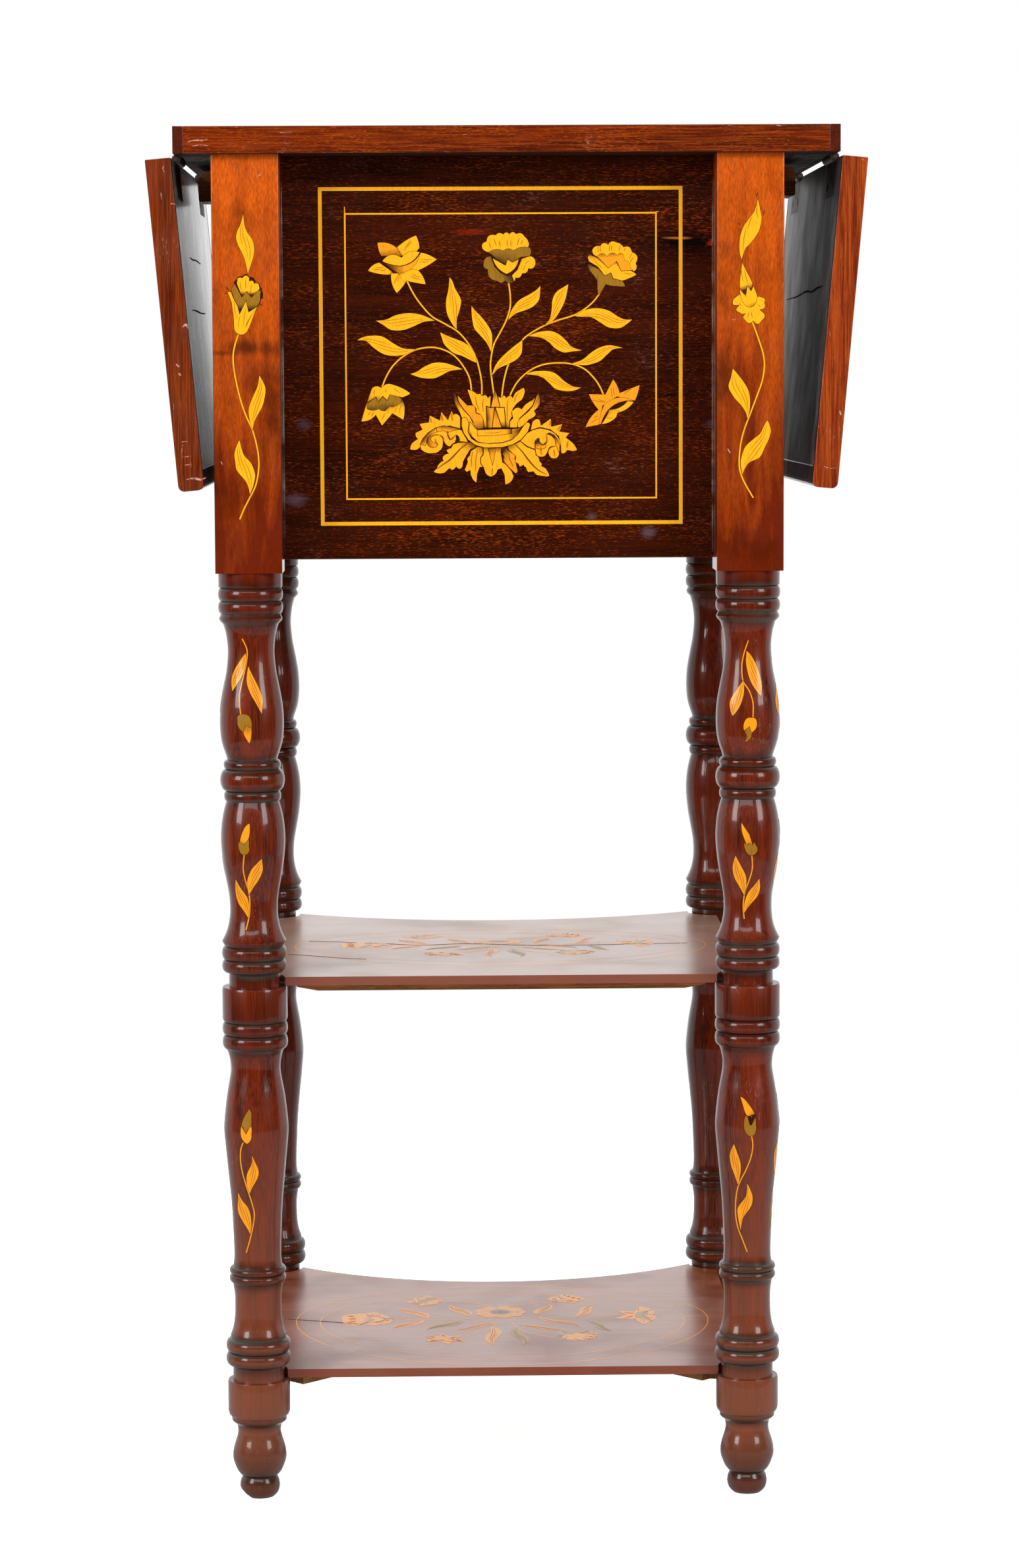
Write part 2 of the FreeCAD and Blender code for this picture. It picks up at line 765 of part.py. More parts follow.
def build_shelves():
    """Both shelves with their dowels, batten and bearers. Gives back the dowels, which the legs hold."""
    shelves = (
        ("middle", middle_shelf_seat, middle_shelf_hollow, upper_drum_share, upper_neck_share),
        ("lower", lower_shelf_seat, lower_shelf_hollow, foot_drum_share, lower_neck_share),
    )
    dowels = []
    for name, seat, hollow, drum_share, neck_share in shelves:
        drum = turning_radius * drum_share
        pegs = shelf_dowels(seat, drum, turning_radius * neck_share)
        save(name + "_shelf", shelf(seat, hollow, drum, pegs))
        save(name + "_shelf_dowels", *pegs)
        dowels = dowels + pegs
    save("middle_shelf_batten", shelf_batten())
    save("lower_shelf_bearers", *corner_bearers())
    return dowels


def build_top_and_leaves():
    """Top, leaves and hinges."""
    top_plates = at_hinges(hinge_plate(0, -1))
    leaf_plates = at_hinges(hinge_plate(1, 1))
    pins = at_hinges(Part.makeCylinder(hinge_pin_radius, hinge_length, V(0, -hinge_length / 2, 0), Y_AXIS))
    top_beds = at_hinges(hinge_recess()) + at_hinges(plate_recess(-1))
    leaf_beds = at_hinges(hinge_recess()) + at_hinges(plate_recess(1))
    cutters = top_dowels()
    for name, side in (("left", -1), ("right", 1)):
        cutters = cutters + [on_top(shape, side) for shape in top_beds]
        save(name + "_hinge_top_plates", *[on_top(shape, side) for shape in top_plates])
        save(name + "_hinge_pins", *[on_top(shape, side) for shape in pins])
        save(name + "_hinge_leaf_plates", *[hanging(shape, side) for shape in leaf_plates])
        for piece, boards in leaf_boards().items():
            save(name + "_leaf_" + piece, *[hanging(board.cut(leaf_beds), side) for board in boards])
    for name, board in top_boards().items():
        save(name, board.cut(cutters))


def build_moving_pieces():
    """Lopers and drawers."""
    for name, side in (("left", -1), ("right", 1)):
        bar, peg = loper(side)
        save(name + "_loper", bar)
        save(name + "_loper_stop", peg)
    for level, opening in (("upper", upper_opening_bottom), ("lower", drawer_opening_bottom)):
        for piece, shapes in drawer(opening).items():
            save(level + "_drawer_" + piece, *shapes)


build_case()
build_top_and_leaves()
build_moving_pieces()
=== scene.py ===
# %% [markdown]
# # A drop leaf side table with flowers in marquetry
# A small mahogany table stands with its back to us: two hanging leaves, a square case with a basket of
# flowers laid in different woods, four turned legs and two thin shelves. The frame that is loaded here
# holds every board at its true place. We keep those places and give each piece its finished form.

# %% Load the frame
import bpy, bmesh, math, random
from mathutils import Matrix, Vector


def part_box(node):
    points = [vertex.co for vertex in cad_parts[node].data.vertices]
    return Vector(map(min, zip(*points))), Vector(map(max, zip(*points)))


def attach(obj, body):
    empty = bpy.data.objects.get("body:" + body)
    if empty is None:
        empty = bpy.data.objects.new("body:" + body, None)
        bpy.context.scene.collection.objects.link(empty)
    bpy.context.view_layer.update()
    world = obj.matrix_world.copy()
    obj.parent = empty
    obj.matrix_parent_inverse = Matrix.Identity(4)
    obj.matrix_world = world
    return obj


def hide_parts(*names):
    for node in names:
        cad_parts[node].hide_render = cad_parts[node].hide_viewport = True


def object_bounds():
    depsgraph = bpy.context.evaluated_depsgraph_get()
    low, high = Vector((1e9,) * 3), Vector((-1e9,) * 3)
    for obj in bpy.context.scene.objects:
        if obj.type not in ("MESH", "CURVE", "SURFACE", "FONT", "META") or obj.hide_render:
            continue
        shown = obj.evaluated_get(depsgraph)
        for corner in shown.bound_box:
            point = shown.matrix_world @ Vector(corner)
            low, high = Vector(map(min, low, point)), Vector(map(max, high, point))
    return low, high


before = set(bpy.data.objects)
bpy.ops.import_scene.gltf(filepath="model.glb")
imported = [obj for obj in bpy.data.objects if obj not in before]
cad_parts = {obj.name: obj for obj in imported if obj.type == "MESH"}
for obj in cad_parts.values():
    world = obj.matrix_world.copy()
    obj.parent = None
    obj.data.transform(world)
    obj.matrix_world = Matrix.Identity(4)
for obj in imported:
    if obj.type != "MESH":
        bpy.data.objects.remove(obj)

MM = 0.001
frame_low, frame_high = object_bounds()
print("table box in mm", [round((b - a) / MM, 1) for a, b in zip(frame_low, frame_high)])

# %% [markdown]
# ## Camera
# The picture was taken a little above the case, almost square to the back. A camera is the object whose
# -Z axis looks into the scene, so its three axes are worked out from the turn, the tilt and the roll and
# then written as the columns of its matrix.

# %% Camera at the photographer's place
camera_place = Vector((-0.04235, -2.4562, 0.6412))
turn, tilt, roll = math.radians(1.054), math.radians(5.675), math.radians(-0.272)
ahead = Vector((math.sin(turn) * math.cos(tilt), math.cos(turn) * math.cos(tilt), -math.sin(tilt)))
level = Vector((math.cos(turn), -math.sin(turn), 0))
upright = level.cross(ahead)
right = level * math.cos(roll) + upright * math.sin(roll)
up = upright * math.cos(roll) - level * math.sin(roll)
lens_pixels = 6212
picture_width, picture_height = 1546, 2380

lens = bpy.data.cameras.new("studio_camera")
lens.sensor_width = 36
lens.lens = lens_pixels * lens.sensor_width / picture_height
camera = bpy.data.objects.new("studio_camera", lens)
bpy.context.collection.objects.link(camera)
camera.matrix_world = Matrix((
    (right.x, up.x, -ahead.x, camera_place.x),
    (right.y, up.y, -ahead.y, camera_place.y),
    (right.z, up.z, -ahead.z, camera_place.z),
    (0, 0, 0, 1)))
bpy.context.scene.camera = camera
print("lens in mm", round(lens.lens, 2))


def ray_through(px, py):
    """The direction from the camera through a point of the picture."""
    return ahead * lens_pixels + right * (px - picture_width / 2) - up * (py - picture_height / 2)


def in_picture(px, py, depth):
    """Where a point of the picture meets the upright plane y = depth."""
    ray = ray_through(px, py)
    return camera_place + ray * ((depth - camera_place.y) / ray.y)


# %% [markdown]
# ## Colours and nodes
# Paint shops write colours as hex values, and the renderer counts in linear light. One function turns
# the one into the other. Two more add a node, set it and link it.

# %% A colour and a node
def colour(hex_value):
    """An sRGB hex colour as linear light."""
    parts = [int(hex_value[i:i + 2], 16) / 255 for i in (1, 3, 5)]
    return [p / 12.92 if p <= 0.04045 else ((p + 0.055) / 1.055) ** 2.4 for p in parts] + [1.0]


def fill(node, inputs):
    """Gives each input its value, or links it when the value comes from another node."""
    for name, value in inputs.items():
        socket = node.inputs[name]
        if isinstance(value, bpy.types.NodeSocket):
            node.id_data.links.new(value, socket)
        else:
            socket.default_value = value


def add(finish, kind, inputs=None, **settings):
    """Adds a node, gives it its settings, and fills or links its inputs."""
    node = finish.node_tree.nodes.new(kind)
    for name, value in settings.items():
        setattr(node, name, value)
    fill(node, inputs or {})
    return node


# %% [markdown]
# ### Short names for common nodes
# The same few nodes come back in every finish: cloudy noise, sums, a range that is spread over another
# range, a colour laid over another and a fade between colours. Each gets a short name, so that a finish
# reads as a list of what is on the wood.

# %% Noise, sums, ranges and mixed colours
def own_place(finish):
    """Each point's place in the coordinates of its own piece."""
    return add(finish, "ShaderNodeTexCoord").outputs["Object"]


def noise(finish, place, scale, detail, distortion=0.0):
    """Cloudy noise between 0 and 1."""
    return add(finish, "ShaderNodeTexNoise", {
        "Vector": place, "Scale": scale, "Detail": detail, "Distortion": distortion}).outputs["Fac"]


def maths(finish, operation, *values):
    """A sum of one to three values."""
    return add(finish, "ShaderNodeMath", dict(enumerate(values)), operation=operation).outputs[0]


def spread(finish, value, low, high, at_high=1.0, at_low=0.0):
    """Spreads what lies between two limits over another range."""
    return add(finish, "ShaderNodeMapRange", {
        "Value": value, "From Min": low, "From Max": high, "To Min": at_low, "To Max": at_high}).outputs["Result"]


def mix(finish, share, under, over):
    """Lays a share of one colour over another. Each is a hex value or comes from another node."""
    under, over = [colour(tint) if isinstance(tint, str) else tint for tint in (under, over)]
    return add(finish, "ShaderNodeMix", {"Factor": share, "A": under, "B": over}, data_type="RGBA").outputs["Result"]


def ramp(finish, value, *stops):
    """Fades from one colour to the next. Each stop is its place on the way and its hex value."""
    fade = add(finish, "ShaderNodeValToRGB", {"Fac": value})
    for element, (place, tint) in zip(fade.color_ramp.elements, stops):
        element.position, element.color = place, colour(tint)
    return fade.outputs["Color"]


# %% [markdown]
# ### A finish and a piece
# A finish starts with nothing but the shader that it will end in. Pieces of the frame that keep their
# shape are dressed in a better finish.

# %% Starting and using a finish
def new_finish(name):
    """An empty finish with the shader that it will end in."""
    finish = bpy.data.materials.new(name)
    finish.use_nodes = True
    finish.node_tree.nodes.clear()
    shader = add(finish, "ShaderNodeBsdfPrincipled")
    add(finish, "ShaderNodeOutputMaterial", {"Surface": shader.outputs["BSDF"]})
    return finish, shader


def dress(node_name, finish):
    """Gives a piece of the frame a better finish."""
    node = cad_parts[node_name]
    for slot in node.material_slots:
        slot.material = finish
    if not node.material_slots:
        node.data.materials.append(finish)


# %% [markdown]
# ## Studio
# Two tall soft boxes stand left and right of the camera: each ring of the legs shows one highlight to
# the left and one to the right. A wide, weak one hangs over the camera and draws a soft streak along the
# upper side of every bead. The background is white paper, so the world is white where the camera or
# a reflection looks past the table, and much dimmer as a light on the wood.

# %% Soft boxes, white surroundings and floor
lamp_distance = 2.7
lit_middle = Vector((0, -0.1, 0.45))
for bearing, power, width, tall, lamp_height in (
        (-54, 44, 1.0, 1.1, 1.30), (48, 37, 1.0, 1.1, 1.30), (-8, 22, 3.0, 0.45, 1.95)):
    lamp = bpy.data.lights.new("soft_box", "AREA")
    lamp.shape = "RECTANGLE"
    lamp.size, lamp.size_y = width, tall
    lamp.energy = power
    box = bpy.data.objects.new("soft_box", lamp)
    bpy.context.collection.objects.link(box)
    away = math.radians(bearing)
    place = Vector((lamp_distance * math.sin(away), -0.15 - lamp_distance * math.cos(away), lamp_height))
    aim = lit_middle - place
    box.matrix_world = Matrix.Translation(place) @ aim.to_track_quat("-Z", "Y").to_matrix().to_4x4()

world = bpy.data.worlds.new("white_studio")
bpy.context.scene.world = world
world.use_nodes = True
world.node_tree.nodes.clear()
rays = add(world, "ShaderNodeLightPath")
heading = add(world, "ShaderNodeTexCoord")
split = add(world, "ShaderNodeSeparateXYZ", {"Vector": heading.outputs["Generated"]})
# Behind the table the paper is white. Behind the camera the room is dark.
paper = spread(world, split.outputs["Y"], -0.10, 0.20, 1.0, 0.03)
seen = maths(world, "MULTIPLY", rays.outputs["Is Glossy Ray"], paper)
through = maths(world, "MAXIMUM", rays.outputs["Is Camera Ray"], rays.outputs["Is Transmission Ray"])
white = maths(world, "MAXIMUM", seen, through)
strength = maths(world, "MAXIMUM", white, rays.outputs["Is Diffuse Ray"])
dim = spread(world, rays.outputs["Is Diffuse Ray"], 0.0, 1.0, 0.42, 1.0)
level_of_light = maths(world, "MULTIPLY", strength, dim)
sky = add(world, "ShaderNodeBackground", {"Color": colour("#ffffff"), "Strength": level_of_light})
add(world, "ShaderNodeOutputWorld", {"Surface": sky.outputs["Background"]})

bpy.ops.object.select_all(action="DESELECT")
bpy.ops.mesh.primitive_circle_add(vertices=96, radius=1.25, fill_type="NGON", location=(0, 0, 0))
floor = bpy.context.object
floor.name = "paper_floor"
floor_paper = bpy.data.materials.new("white_studio_paper")
floor_paper.use_nodes = True
floor_paper.node_tree.nodes.clear()
# Matt white paper: the lamps fall on it flatly, so a little light is added for the camera alone.
matt = add(floor_paper, "ShaderNodeBsdfDiffuse", {"Color": colour("#f2f2f2"), "Roughness": 1.0})
floor_rays = add(floor_paper, "ShaderNodeLightPath")
lift = maths(floor_paper, "MULTIPLY", floor_rays.outputs["Is Camera Ray"], 0.8)
glow = add(floor_paper, "ShaderNodeEmission", {"Color": colour("#ffffff"), "Strength": lift})
both = add(floor_paper, "ShaderNodeAddShader", {0: matt.outputs[0], 1: glow.outputs[0]})
add(floor_paper, "ShaderNodeOutputMaterial", {"Surface": both.outputs[0]})
floor.data.materials.append(floor_paper)
bpy.context.scene.view_settings.view_transform = "Standard"

# %% [markdown]
# ## Polished mahogany
# Mahogany is a red-brown wood with long fibres, dark open pores a few millimetres long and broad stripes
# of lighter and deeper colour. It is filled and French polished, so a thin clear coat lies on it. We make
# it from stretched noise: fine noise for fibres, coarse noise for stripes, and the peaks of a third noise
# for pores. The stretch follows the board's own grain.

# %% Polished mahogany, for boards of any grain
WOOD_IOR = 1.5  # of wood and of old polish alike


def stretched(finish, where, grain, across, along):
    """The place on the wood, counted in fibre widths across the grain and fibre lengths along it."""
    sizes = [across, across, across]
    sizes["xyz".index(grain)] = along
    return add(finish, "ShaderNodeMapping", {"Vector": where, "Scale": [1 / (s * MM) for s in sizes]}).outputs[0]


def polished_wood(name, grain, deep, middle, pale, roughness=0.34, polish=0.45, polish_roughness=0.09, sheen=0.12,
                  stripe=11, fibre=0.7, pores=0.45, dashes=None, haze=None, scuffs=0.5):
    """Polished mahogany. Gives the finish, its shader and the colour that the shader gets."""
    finish, shader = new_finish(name)
    where = own_place(finish)
    # Stripes 11 mm wide and some 150 mm long, fibres just under a millimetre, pores 0.35 by 5 mm.
    stripes = noise(finish, stretched(finish, where, grain, stripe, 150), 1, 3, 0.6)
    fibres = noise(finish, stretched(finish, where, grain, fibre, 26), 1, 4)
    pore = noise(finish, stretched(finish, where, grain, 0.35, 5), 1, 1)
    wear = noise(finish, where, 35, 3)
    body = ramp(finish, stripes, (0.33, deep), (0.70, middle))
    threads = spread(finish, fibres, 0.42, 0.72, 0.75)
    streaked = mix(finish, threads, body, pale)
    holes = spread(finish, pore, 0.60, 0.70, pores)
    pored = mix(finish, holes, streaked, "#140604")
    skin = pored
    if dashes:
        # Short bright fibres, a quarter by 2.4 mm, that catch the light, in some places thicker than in others.
        flecks = noise(finish, stretched(finish, where, grain, 0.26, 2.4), 1, 0)
        patch = noise(finish, stretched(finish, where, grain, 16, 50), 1, 2)
        lit = maths(finish, "MULTIPLY_ADD", patch, 0.45, flecks)
        bright = spread(finish, lit, 0.87, 1.08, 0.72)
        skin = mix(finish, bright, skin, dashes)
    if haze:
        # Dust and worn wax lie on the polish in soft patches.
        amount, tint = haze
        patches = spread(finish, wear, 0.35, 0.75, amount)
        skin = mix(finish, patches, skin, tint)
    if scuffs:
        # A few pale scratches, half a millimetre wide, where the wood has been knocked.
        scratch = noise(finish, stretched(finish, where, grain, 0.8, 5), 1, 1, 1.5)
        knocked = maths(finish, "MULTIPLY", scratch, wear)
        marks = spread(finish, knocked, 0.435, 0.47, scuffs)
        skin = mix(finish, marks, skin, "#b07a66")
    dullness = spread(finish, wear, 0.3, 0.7, roughness + 0.08, roughness - 0.06)
    dents = maths(finish, "SUBTRACT", fibres, holes)
    bump = add(finish, "ShaderNodeBump", {"Height": dents, "Strength": 0.25, "Distance": 0.0002})
    fill(shader, {
        "Base Color": skin, "Roughness": dullness, "Normal": bump.outputs[0], "IOR": WOOD_IOR,
        "Specular IOR Level": sheen, "Coat Weight": polish, "Coat Roughness": polish_roughness})
    return finish, shader, skin


# %% [markdown]
# ## Boards
# A board straight from the frame has knife-sharp edges, and no board on an old table has. Each board is
# copied, its loose triangles are merged, its flat faces are made whole again and its edges are rounded
# with the Bevel modifier, by a few tenths of a millimetre or more where hands have worn it. The copy takes
# the place of the sharp one. The undersides were never polished: they are dark, dry wood, so the faces that
# look that way get a second finish.

# %% Rounded boards
def alone(piece):
    """Selects this piece and no other."""
    bpy.ops.object.select_all(action="DESELECT")
    piece.select_set(True)
    bpy.context.view_layer.objects.active = piece


def copy_of(piece, name, placing):
    """A copy with a mesh of its own, moved to its place."""
    one = piece.copy()
    one.data = piece.data.copy()
    one.name = name
    bpy.context.collection.objects.link(one)
    one.data.transform(placing)
    return one


def joined(pieces):
    """All these pieces as one, which is the first of them."""
    bpy.ops.object.select_all(action="DESELECT")
    for piece in pieces:
        piece.select_set(True)
    bpy.context.view_layer.objects.active = pieces[0]
    bpy.ops.object.join()
    return pieces[0]


def rounded_board(name, node_name, finish, slot, body, edge, underside=None):
    """Copies a board of the frame, rounds its edges and puts the copy in its place."""
    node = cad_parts[node_name]
    board = bpy.data.objects.new(name, node.data.copy())
    bpy.context.collection.objects.link(board)
    board.matrix_world = node.matrix_world.copy()
    board.data.materials.clear()
    board.data.materials.append(finish)
    alone(board)
    bpy.ops.object.mode_set(mode="EDIT")
    bpy.ops.mesh.select_all(action="SELECT")
    bpy.ops.mesh.remove_doubles(threshold=0.00001)
    bpy.ops.mesh.dissolve_limited(angle_limit=math.radians(0.5))
    bpy.ops.object.mode_set(mode="OBJECT")
    for polygon in board.data.polygons:
        polygon.material_index = 0
    rounding = board.modifiers.new("rounded_edges", "BEVEL")
    rounding.width = edge * MM
    rounding.segments = 2
    rounding.limit_method = "ANGLE"
    rounding.angle_limit = math.radians(40)
    bpy.ops.object.modifier_apply(modifier=rounding.name)
    bpy.ops.object.shade_smooth_by_angle(angle=math.radians(35))
    if underside:
        outwards, raw_finish = underside
        board.data.materials.append(raw_finish)
        for polygon in board.data.polygons:
            if polygon.normal.dot(Vector(outwards)) > 0.9:
                polygon.material_index = 1
    # The large flat faces keep their own direction, so that only the rounded edges shade softly.
    flatness = board.modifiers.new("flat_faces_stay_flat", "WEIGHTED_NORMAL")
    flatness.keep_sharp = True
    bpy.ops.object.modifier_apply(modifier=flatness.name)
    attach(board, body)
    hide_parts(node_name)
    return board


top_wood = polished_wood(
    "french_polished_mahogany_top", "x", "#4e1200", "#7e2600", "#a04208", dashes="#b4500c")[0]
top_edge_wood = polished_wood(
    "polished_mahogany_top_edge", "x", "#4a1200", "#782200", "#a0420a", dashes="#b8520c", polish=0.3, sheen=0.06,
    scuffs=0.7)[0]
leaf_wood = polished_wood(
    "french_polished_mahogany_leaf", "y", "#4e1305", "#7e260c", "#9c3c16", dashes="#a84a1c", haze=(0.3, "#8a5038"))[0]
left_edge_wood = polished_wood(
    "worn_mahogany_left_leaf_edge", "z", "#4a1402", "#782806", "#98400e", stripe=4, polish=0.2, sheen=0.05,
    haze=(0.15, "#7c5242"), scuffs=0.8)[0]
right_edge_wood = polished_wood(
    "worn_mahogany_right_leaf_edge", "z", "#6a1c06", "#a03e10", "#be5a20", stripe=4, polish=0.25, sheen=0.06,
    scuffs=0.8)[0]
end_wood = polished_wood(
    "end_grain_mahogany", "y", "#2e0c04", "#521a08", "#6e2c12", stripe=5, fibre=0.4, sheen=0.06, polish=0.2)[0]
panel_wood, panel_shader, panel_skin = polished_wood(
    "dark_mahogany_panel", "x", "#1e0500", "#360d00", "#4c1600", fibre=0.6, pores=0.3, dashes="#a04006", roughness=0.3,
    sheen=0.06, polish=0.4, scuffs=0.2)
case_wood = polished_wood("polished_mahogany_case_side", "x", "#4a1406", "#74260c", "#96401a", dashes="#a04a1c")[0]
rail_wood = polished_wood("polished_mahogany_rail", "x", "#561606", "#84300e", "#a44a1e", dashes="#b05a24")[0]
shelf_wood, shelf_shader, shelf_skin = polished_wood(
    "worn_mahogany_shelf", "x", "#74280c", "#9c4a24", "#b86a38", roughness=0.36, polish=0.9, polish_roughness=0.24,
    sheen=0.45, haze=(0.4, "#c08c6e"), scuffs=0.6)
# The lopers sit in the shade of the top, so their dark stain is painted lighter: painted light.
loper_wood_painted_lighter = polished_wood(
    "stained_loper_with_painted_light", "x", "#5c2c10", "#9c582e", "#b47440", roughness=0.55, polish=0.1, sheen=0.1)[0]
raw_top = polished_wood(
    "unpolished_underside_of_top", "x", "#200e07", "#3c2014", "#54301e", roughness=0.6, polish=0.0, sheen=0.1,
    scuffs=0)[0]
# The leaves are seen almost edge-on, so the saw marks on their undersides are drawn as wide as they need to show.
# Both undersides are one dry wood: the left one is painted light grey as a reflection of the white paper, and
# the right one is painted near black as shade.
left_underside_painted_light = polished_wood(
    "left_leaf_underside_with_painted_reflection", "z", "#2a2828", "#7c7876", "#d8d4d2", roughness=0.3, polish=1.0,
    polish_roughness=0.2, sheen=1.0, stripe=26, fibre=8, pores=0.3, scuffs=0)[0]
right_underside_painted_shade = polished_wood(
    "right_leaf_underside_with_painted_shade", "z", "#020101", "#161413", "#7c7674", roughness=0.45, polish=0.1,
    polish_roughness=0.35, sheen=0.3, stripe=18, fibre=5, pores=0.3, scuffs=0)[0]
raw_edging = polished_wood(
    "unpolished_underside_of_leaf_edging", "z", "#120807", "#241311", "#36201c", roughness=0.5, polish=0.0, sheen=0.2,
    scuffs=0)[0]

# %% Knot and bloom of the panel, edges of the shelves
def oval_mark(finish, where, skin, ripple, face_depth, place_in_picture, half_width, half_height, tint, strength):
    """Lays a soft oval of another colour over a skin, round a point of the picture. Sizes in millimetres."""
    middle = in_picture(*place_in_picture, face_depth)
    sizes = (half_width * MM, 1, half_height * MM)
    offset = add(finish, "ShaderNodeMapping", {
        "Vector": where, "Scale": [1 / sizes[0], 0, 1 / sizes[2]],
        "Location": [-middle.x / sizes[0], 0, -middle.z / sizes[2]]}).outputs[0]
    distance = add(finish, "ShaderNodeVectorMath", {0: offset}, operation="LENGTH")
    torn = maths(finish, "MULTIPLY_ADD", ripple, 1.2, distance.outputs["Value"])
    inside = spread(finish, torn, 0.8, 1.5, 0.0, strength)
    return mix(finish, inside, skin, tint)


# A knot beside the flowers: a near-black streak with a red core. Grey bloom stands in a few small spots.
panel_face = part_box("back_panel")[0].y
panel_place = own_place(panel_wood)
ripple = noise(panel_wood, stretched(panel_wood, panel_place, "x", 1.2, 14), 1, 3)
for mark in (((1040, 366), 34, 10, "#0a0300", 0.97), ((1030, 361), 10, 1.1, "#c07030", 0.85),
             ((1083, 368), 5, 2.6, "#b43008", 0.95), ((712, 352), 13, 2.4, "#8c1c00", 0.6),
             ((449, 759), 9, 6, "#64505a", 0.6), ((461, 644), 6, 5, "#54444c", 0.45),
             ((984, 808), 6, 5, "#64505a", 0.6),
             ((1081, 644), 5, 4, "#54444c", 0.5), ((899, 785), 4, 3, "#54444c", 0.4)):
    panel_skin = oval_mark(panel_wood, panel_place, panel_skin, ripple, panel_face, *mark)
spots = noise(panel_wood, panel_place, 55, 4)
bloom = spread(panel_wood, spots, 0.70, 0.80, 0.4)
bloomed = mix(panel_wood, bloom, panel_skin, "#5a4448")
fill(panel_shader, {"Base Color": bloomed})

# The edges of the shelves are less dusty than their faces: there the wood keeps its deep red-brown.
facing = add(shelf_wood, "ShaderNodeSeparateXYZ", {"Vector": add(shelf_wood, "ShaderNodeTexCoord").outputs["Normal"]})
upwards = maths(shelf_wood, "ABSOLUTE", facing.outputs["Z"])
is_edge = spread(shelf_wood, upwards, 0.3, 0.8, 0.0, 0.85)
# Wet things have stood on both, which left red-brown stains as wide as a hand, duller than the rest. The
# middle shelf is painted paler all over: a painted reflection of the white paper, which it meets at a more
# grazing angle.
shelf_place = own_place(shelf_wood)
wet = noise(shelf_wood, shelf_place, 13, 4, 0.5)
stain = spread(shelf_wood, wet, 0.46, 0.68, 0.6)
stained = mix(shelf_wood, stain, shelf_skin, "#70301a")
dulled = spread(shelf_wood, wet, 0.46, 0.68, 0.55, 0.95)
shelf_height = add(shelf_wood, "ShaderNodeSeparateXYZ", {"Vector": shelf_place}).outputs["Z"]
middle_shelf_painted_reflection = spread(shelf_wood, shelf_height, 0.15, 0.25, 0.4)
with_painted_reflection = mix(shelf_wood, middle_shelf_painted_reflection, stained, "#dcbca8")
edged = mix(shelf_wood, is_edge, with_painted_reflection, "#762c0c")
fill(shelf_shader, {"Base Color": edged, "Coat Weight": dulled})

# %% All boards
under_top = ((0, 0, -1), raw_top)
boards = [
    ("top_board", "top_panel", top_wood, "top_mahogany", "frame", 0.4, under_top),
    ("top_left_edging", "top_lipping_left", end_wood, "top_mahogany", "frame", 0.5, under_top),
    ("top_right_edging", "top_lipping_right", end_wood, "top_mahogany", "frame", 0.5, under_top),
    ("top_back_edging", "top_lipping_back", top_edge_wood, "top_mahogany", "frame", 0.5, under_top),
    ("top_front_edging", "top_lipping_front", top_edge_wood, "top_mahogany", "frame", 0.5, under_top),
    ("marquetry_panel", "back_panel", panel_wood, "panel_mahogany", "frame", 0.4, None),
    ("drawer_side_top_rail", "top_rail", rail_wood, "rail_mahogany", "frame", 0.6, None),
    ("drawer_side_middle_rail", "middle_rail", rail_wood, "rail_mahogany", "frame", 0.6, None),
    ("drawer_side_bottom_rail", "bottom_rail", rail_wood, "rail_mahogany", "frame", 0.6, None),
    ("left_case_side", "side_panel_left", case_wood, "side_mahogany", "frame", 0.4, None),
    ("right_case_side", "side_panel_right", case_wood, "side_mahogany", "frame", 0.4, None),
    ("middle_shelf_board", "middle_shelf", shelf_wood, "shelf_mahogany", "frame", 0.7, None),
    ("lower_shelf_board", "lower_shelf", shelf_wood, "shelf_mahogany", "frame", 0.7, None),
]
for side, inwards, edge_wood, raw_leaf in (("left", 1, left_edge_wood, left_underside_painted_light),
                                           ("right", -1, right_edge_wood, right_underside_painted_shade)):
    body = side + "_leaf"
    inner_face, inner_edging = ((inwards, 0, 0), raw_leaf), ((inwards, 0, 0), raw_edging)
    boards += [
        (side + "_leaf_board", side + "_leaf_panel", leaf_wood, "leaf_mahogany", body, 0.5, inner_face),
        (side + "_leaf_end_edging", side + "_leaf_end_lippings", edge_wood, "leaf_mahogany", body, 0.6, inner_edging),
        (side + "_leaf_outer_edging", side + "_leaf_outer_lipping", leaf_wood, "leaf_mahogany", body, 0.8,
         inner_edging),
        (side + "_loper_bar", side + "_loper", loper_wood_painted_lighter, "loper_oak", side + "_loper", 0.6, None),
    ]
for level_name in ("upper", "lower"):
    boards.append((level_name + "_drawer_face", level_name + "_drawer_front", rail_wood,
                   "drawer_front_mahogany", level_name + "_drawer", 0.7, None))
for board_facts in boards:
    rounded_board(*board_facts)
print("rounded boards", len(boards))

# %% [markdown]
# ## Turned legs
# Each leg is one length of mahogany, square at the top for the joints and turned on a lathe below. On a
# lathe the shape is one outline swept round an axis, so we draw that outline once, as a line of points from
# foot to top, and spin it. Beads are half ellipses, vases are smooth sweeps. The top is spun too wide and
# then sawn square by four flat cuts, so the block stands with a flat shoulder on its round neck.

# %% Outline of the leg, in millimetres from the axis and from the floor
def bead(outline, crest, top, end):
    """A half-round bead from the last point up to the height top."""
    start_radius, start = outline[-1]
    for step in range(1, 9):
        angle = math.pi * step / 8
        share = (1 - math.cos(angle)) / 2
        base = start_radius + (end - start_radius) * share
        outline.append((base + (crest - base) * math.sin(angle), start + (top - start) * share))


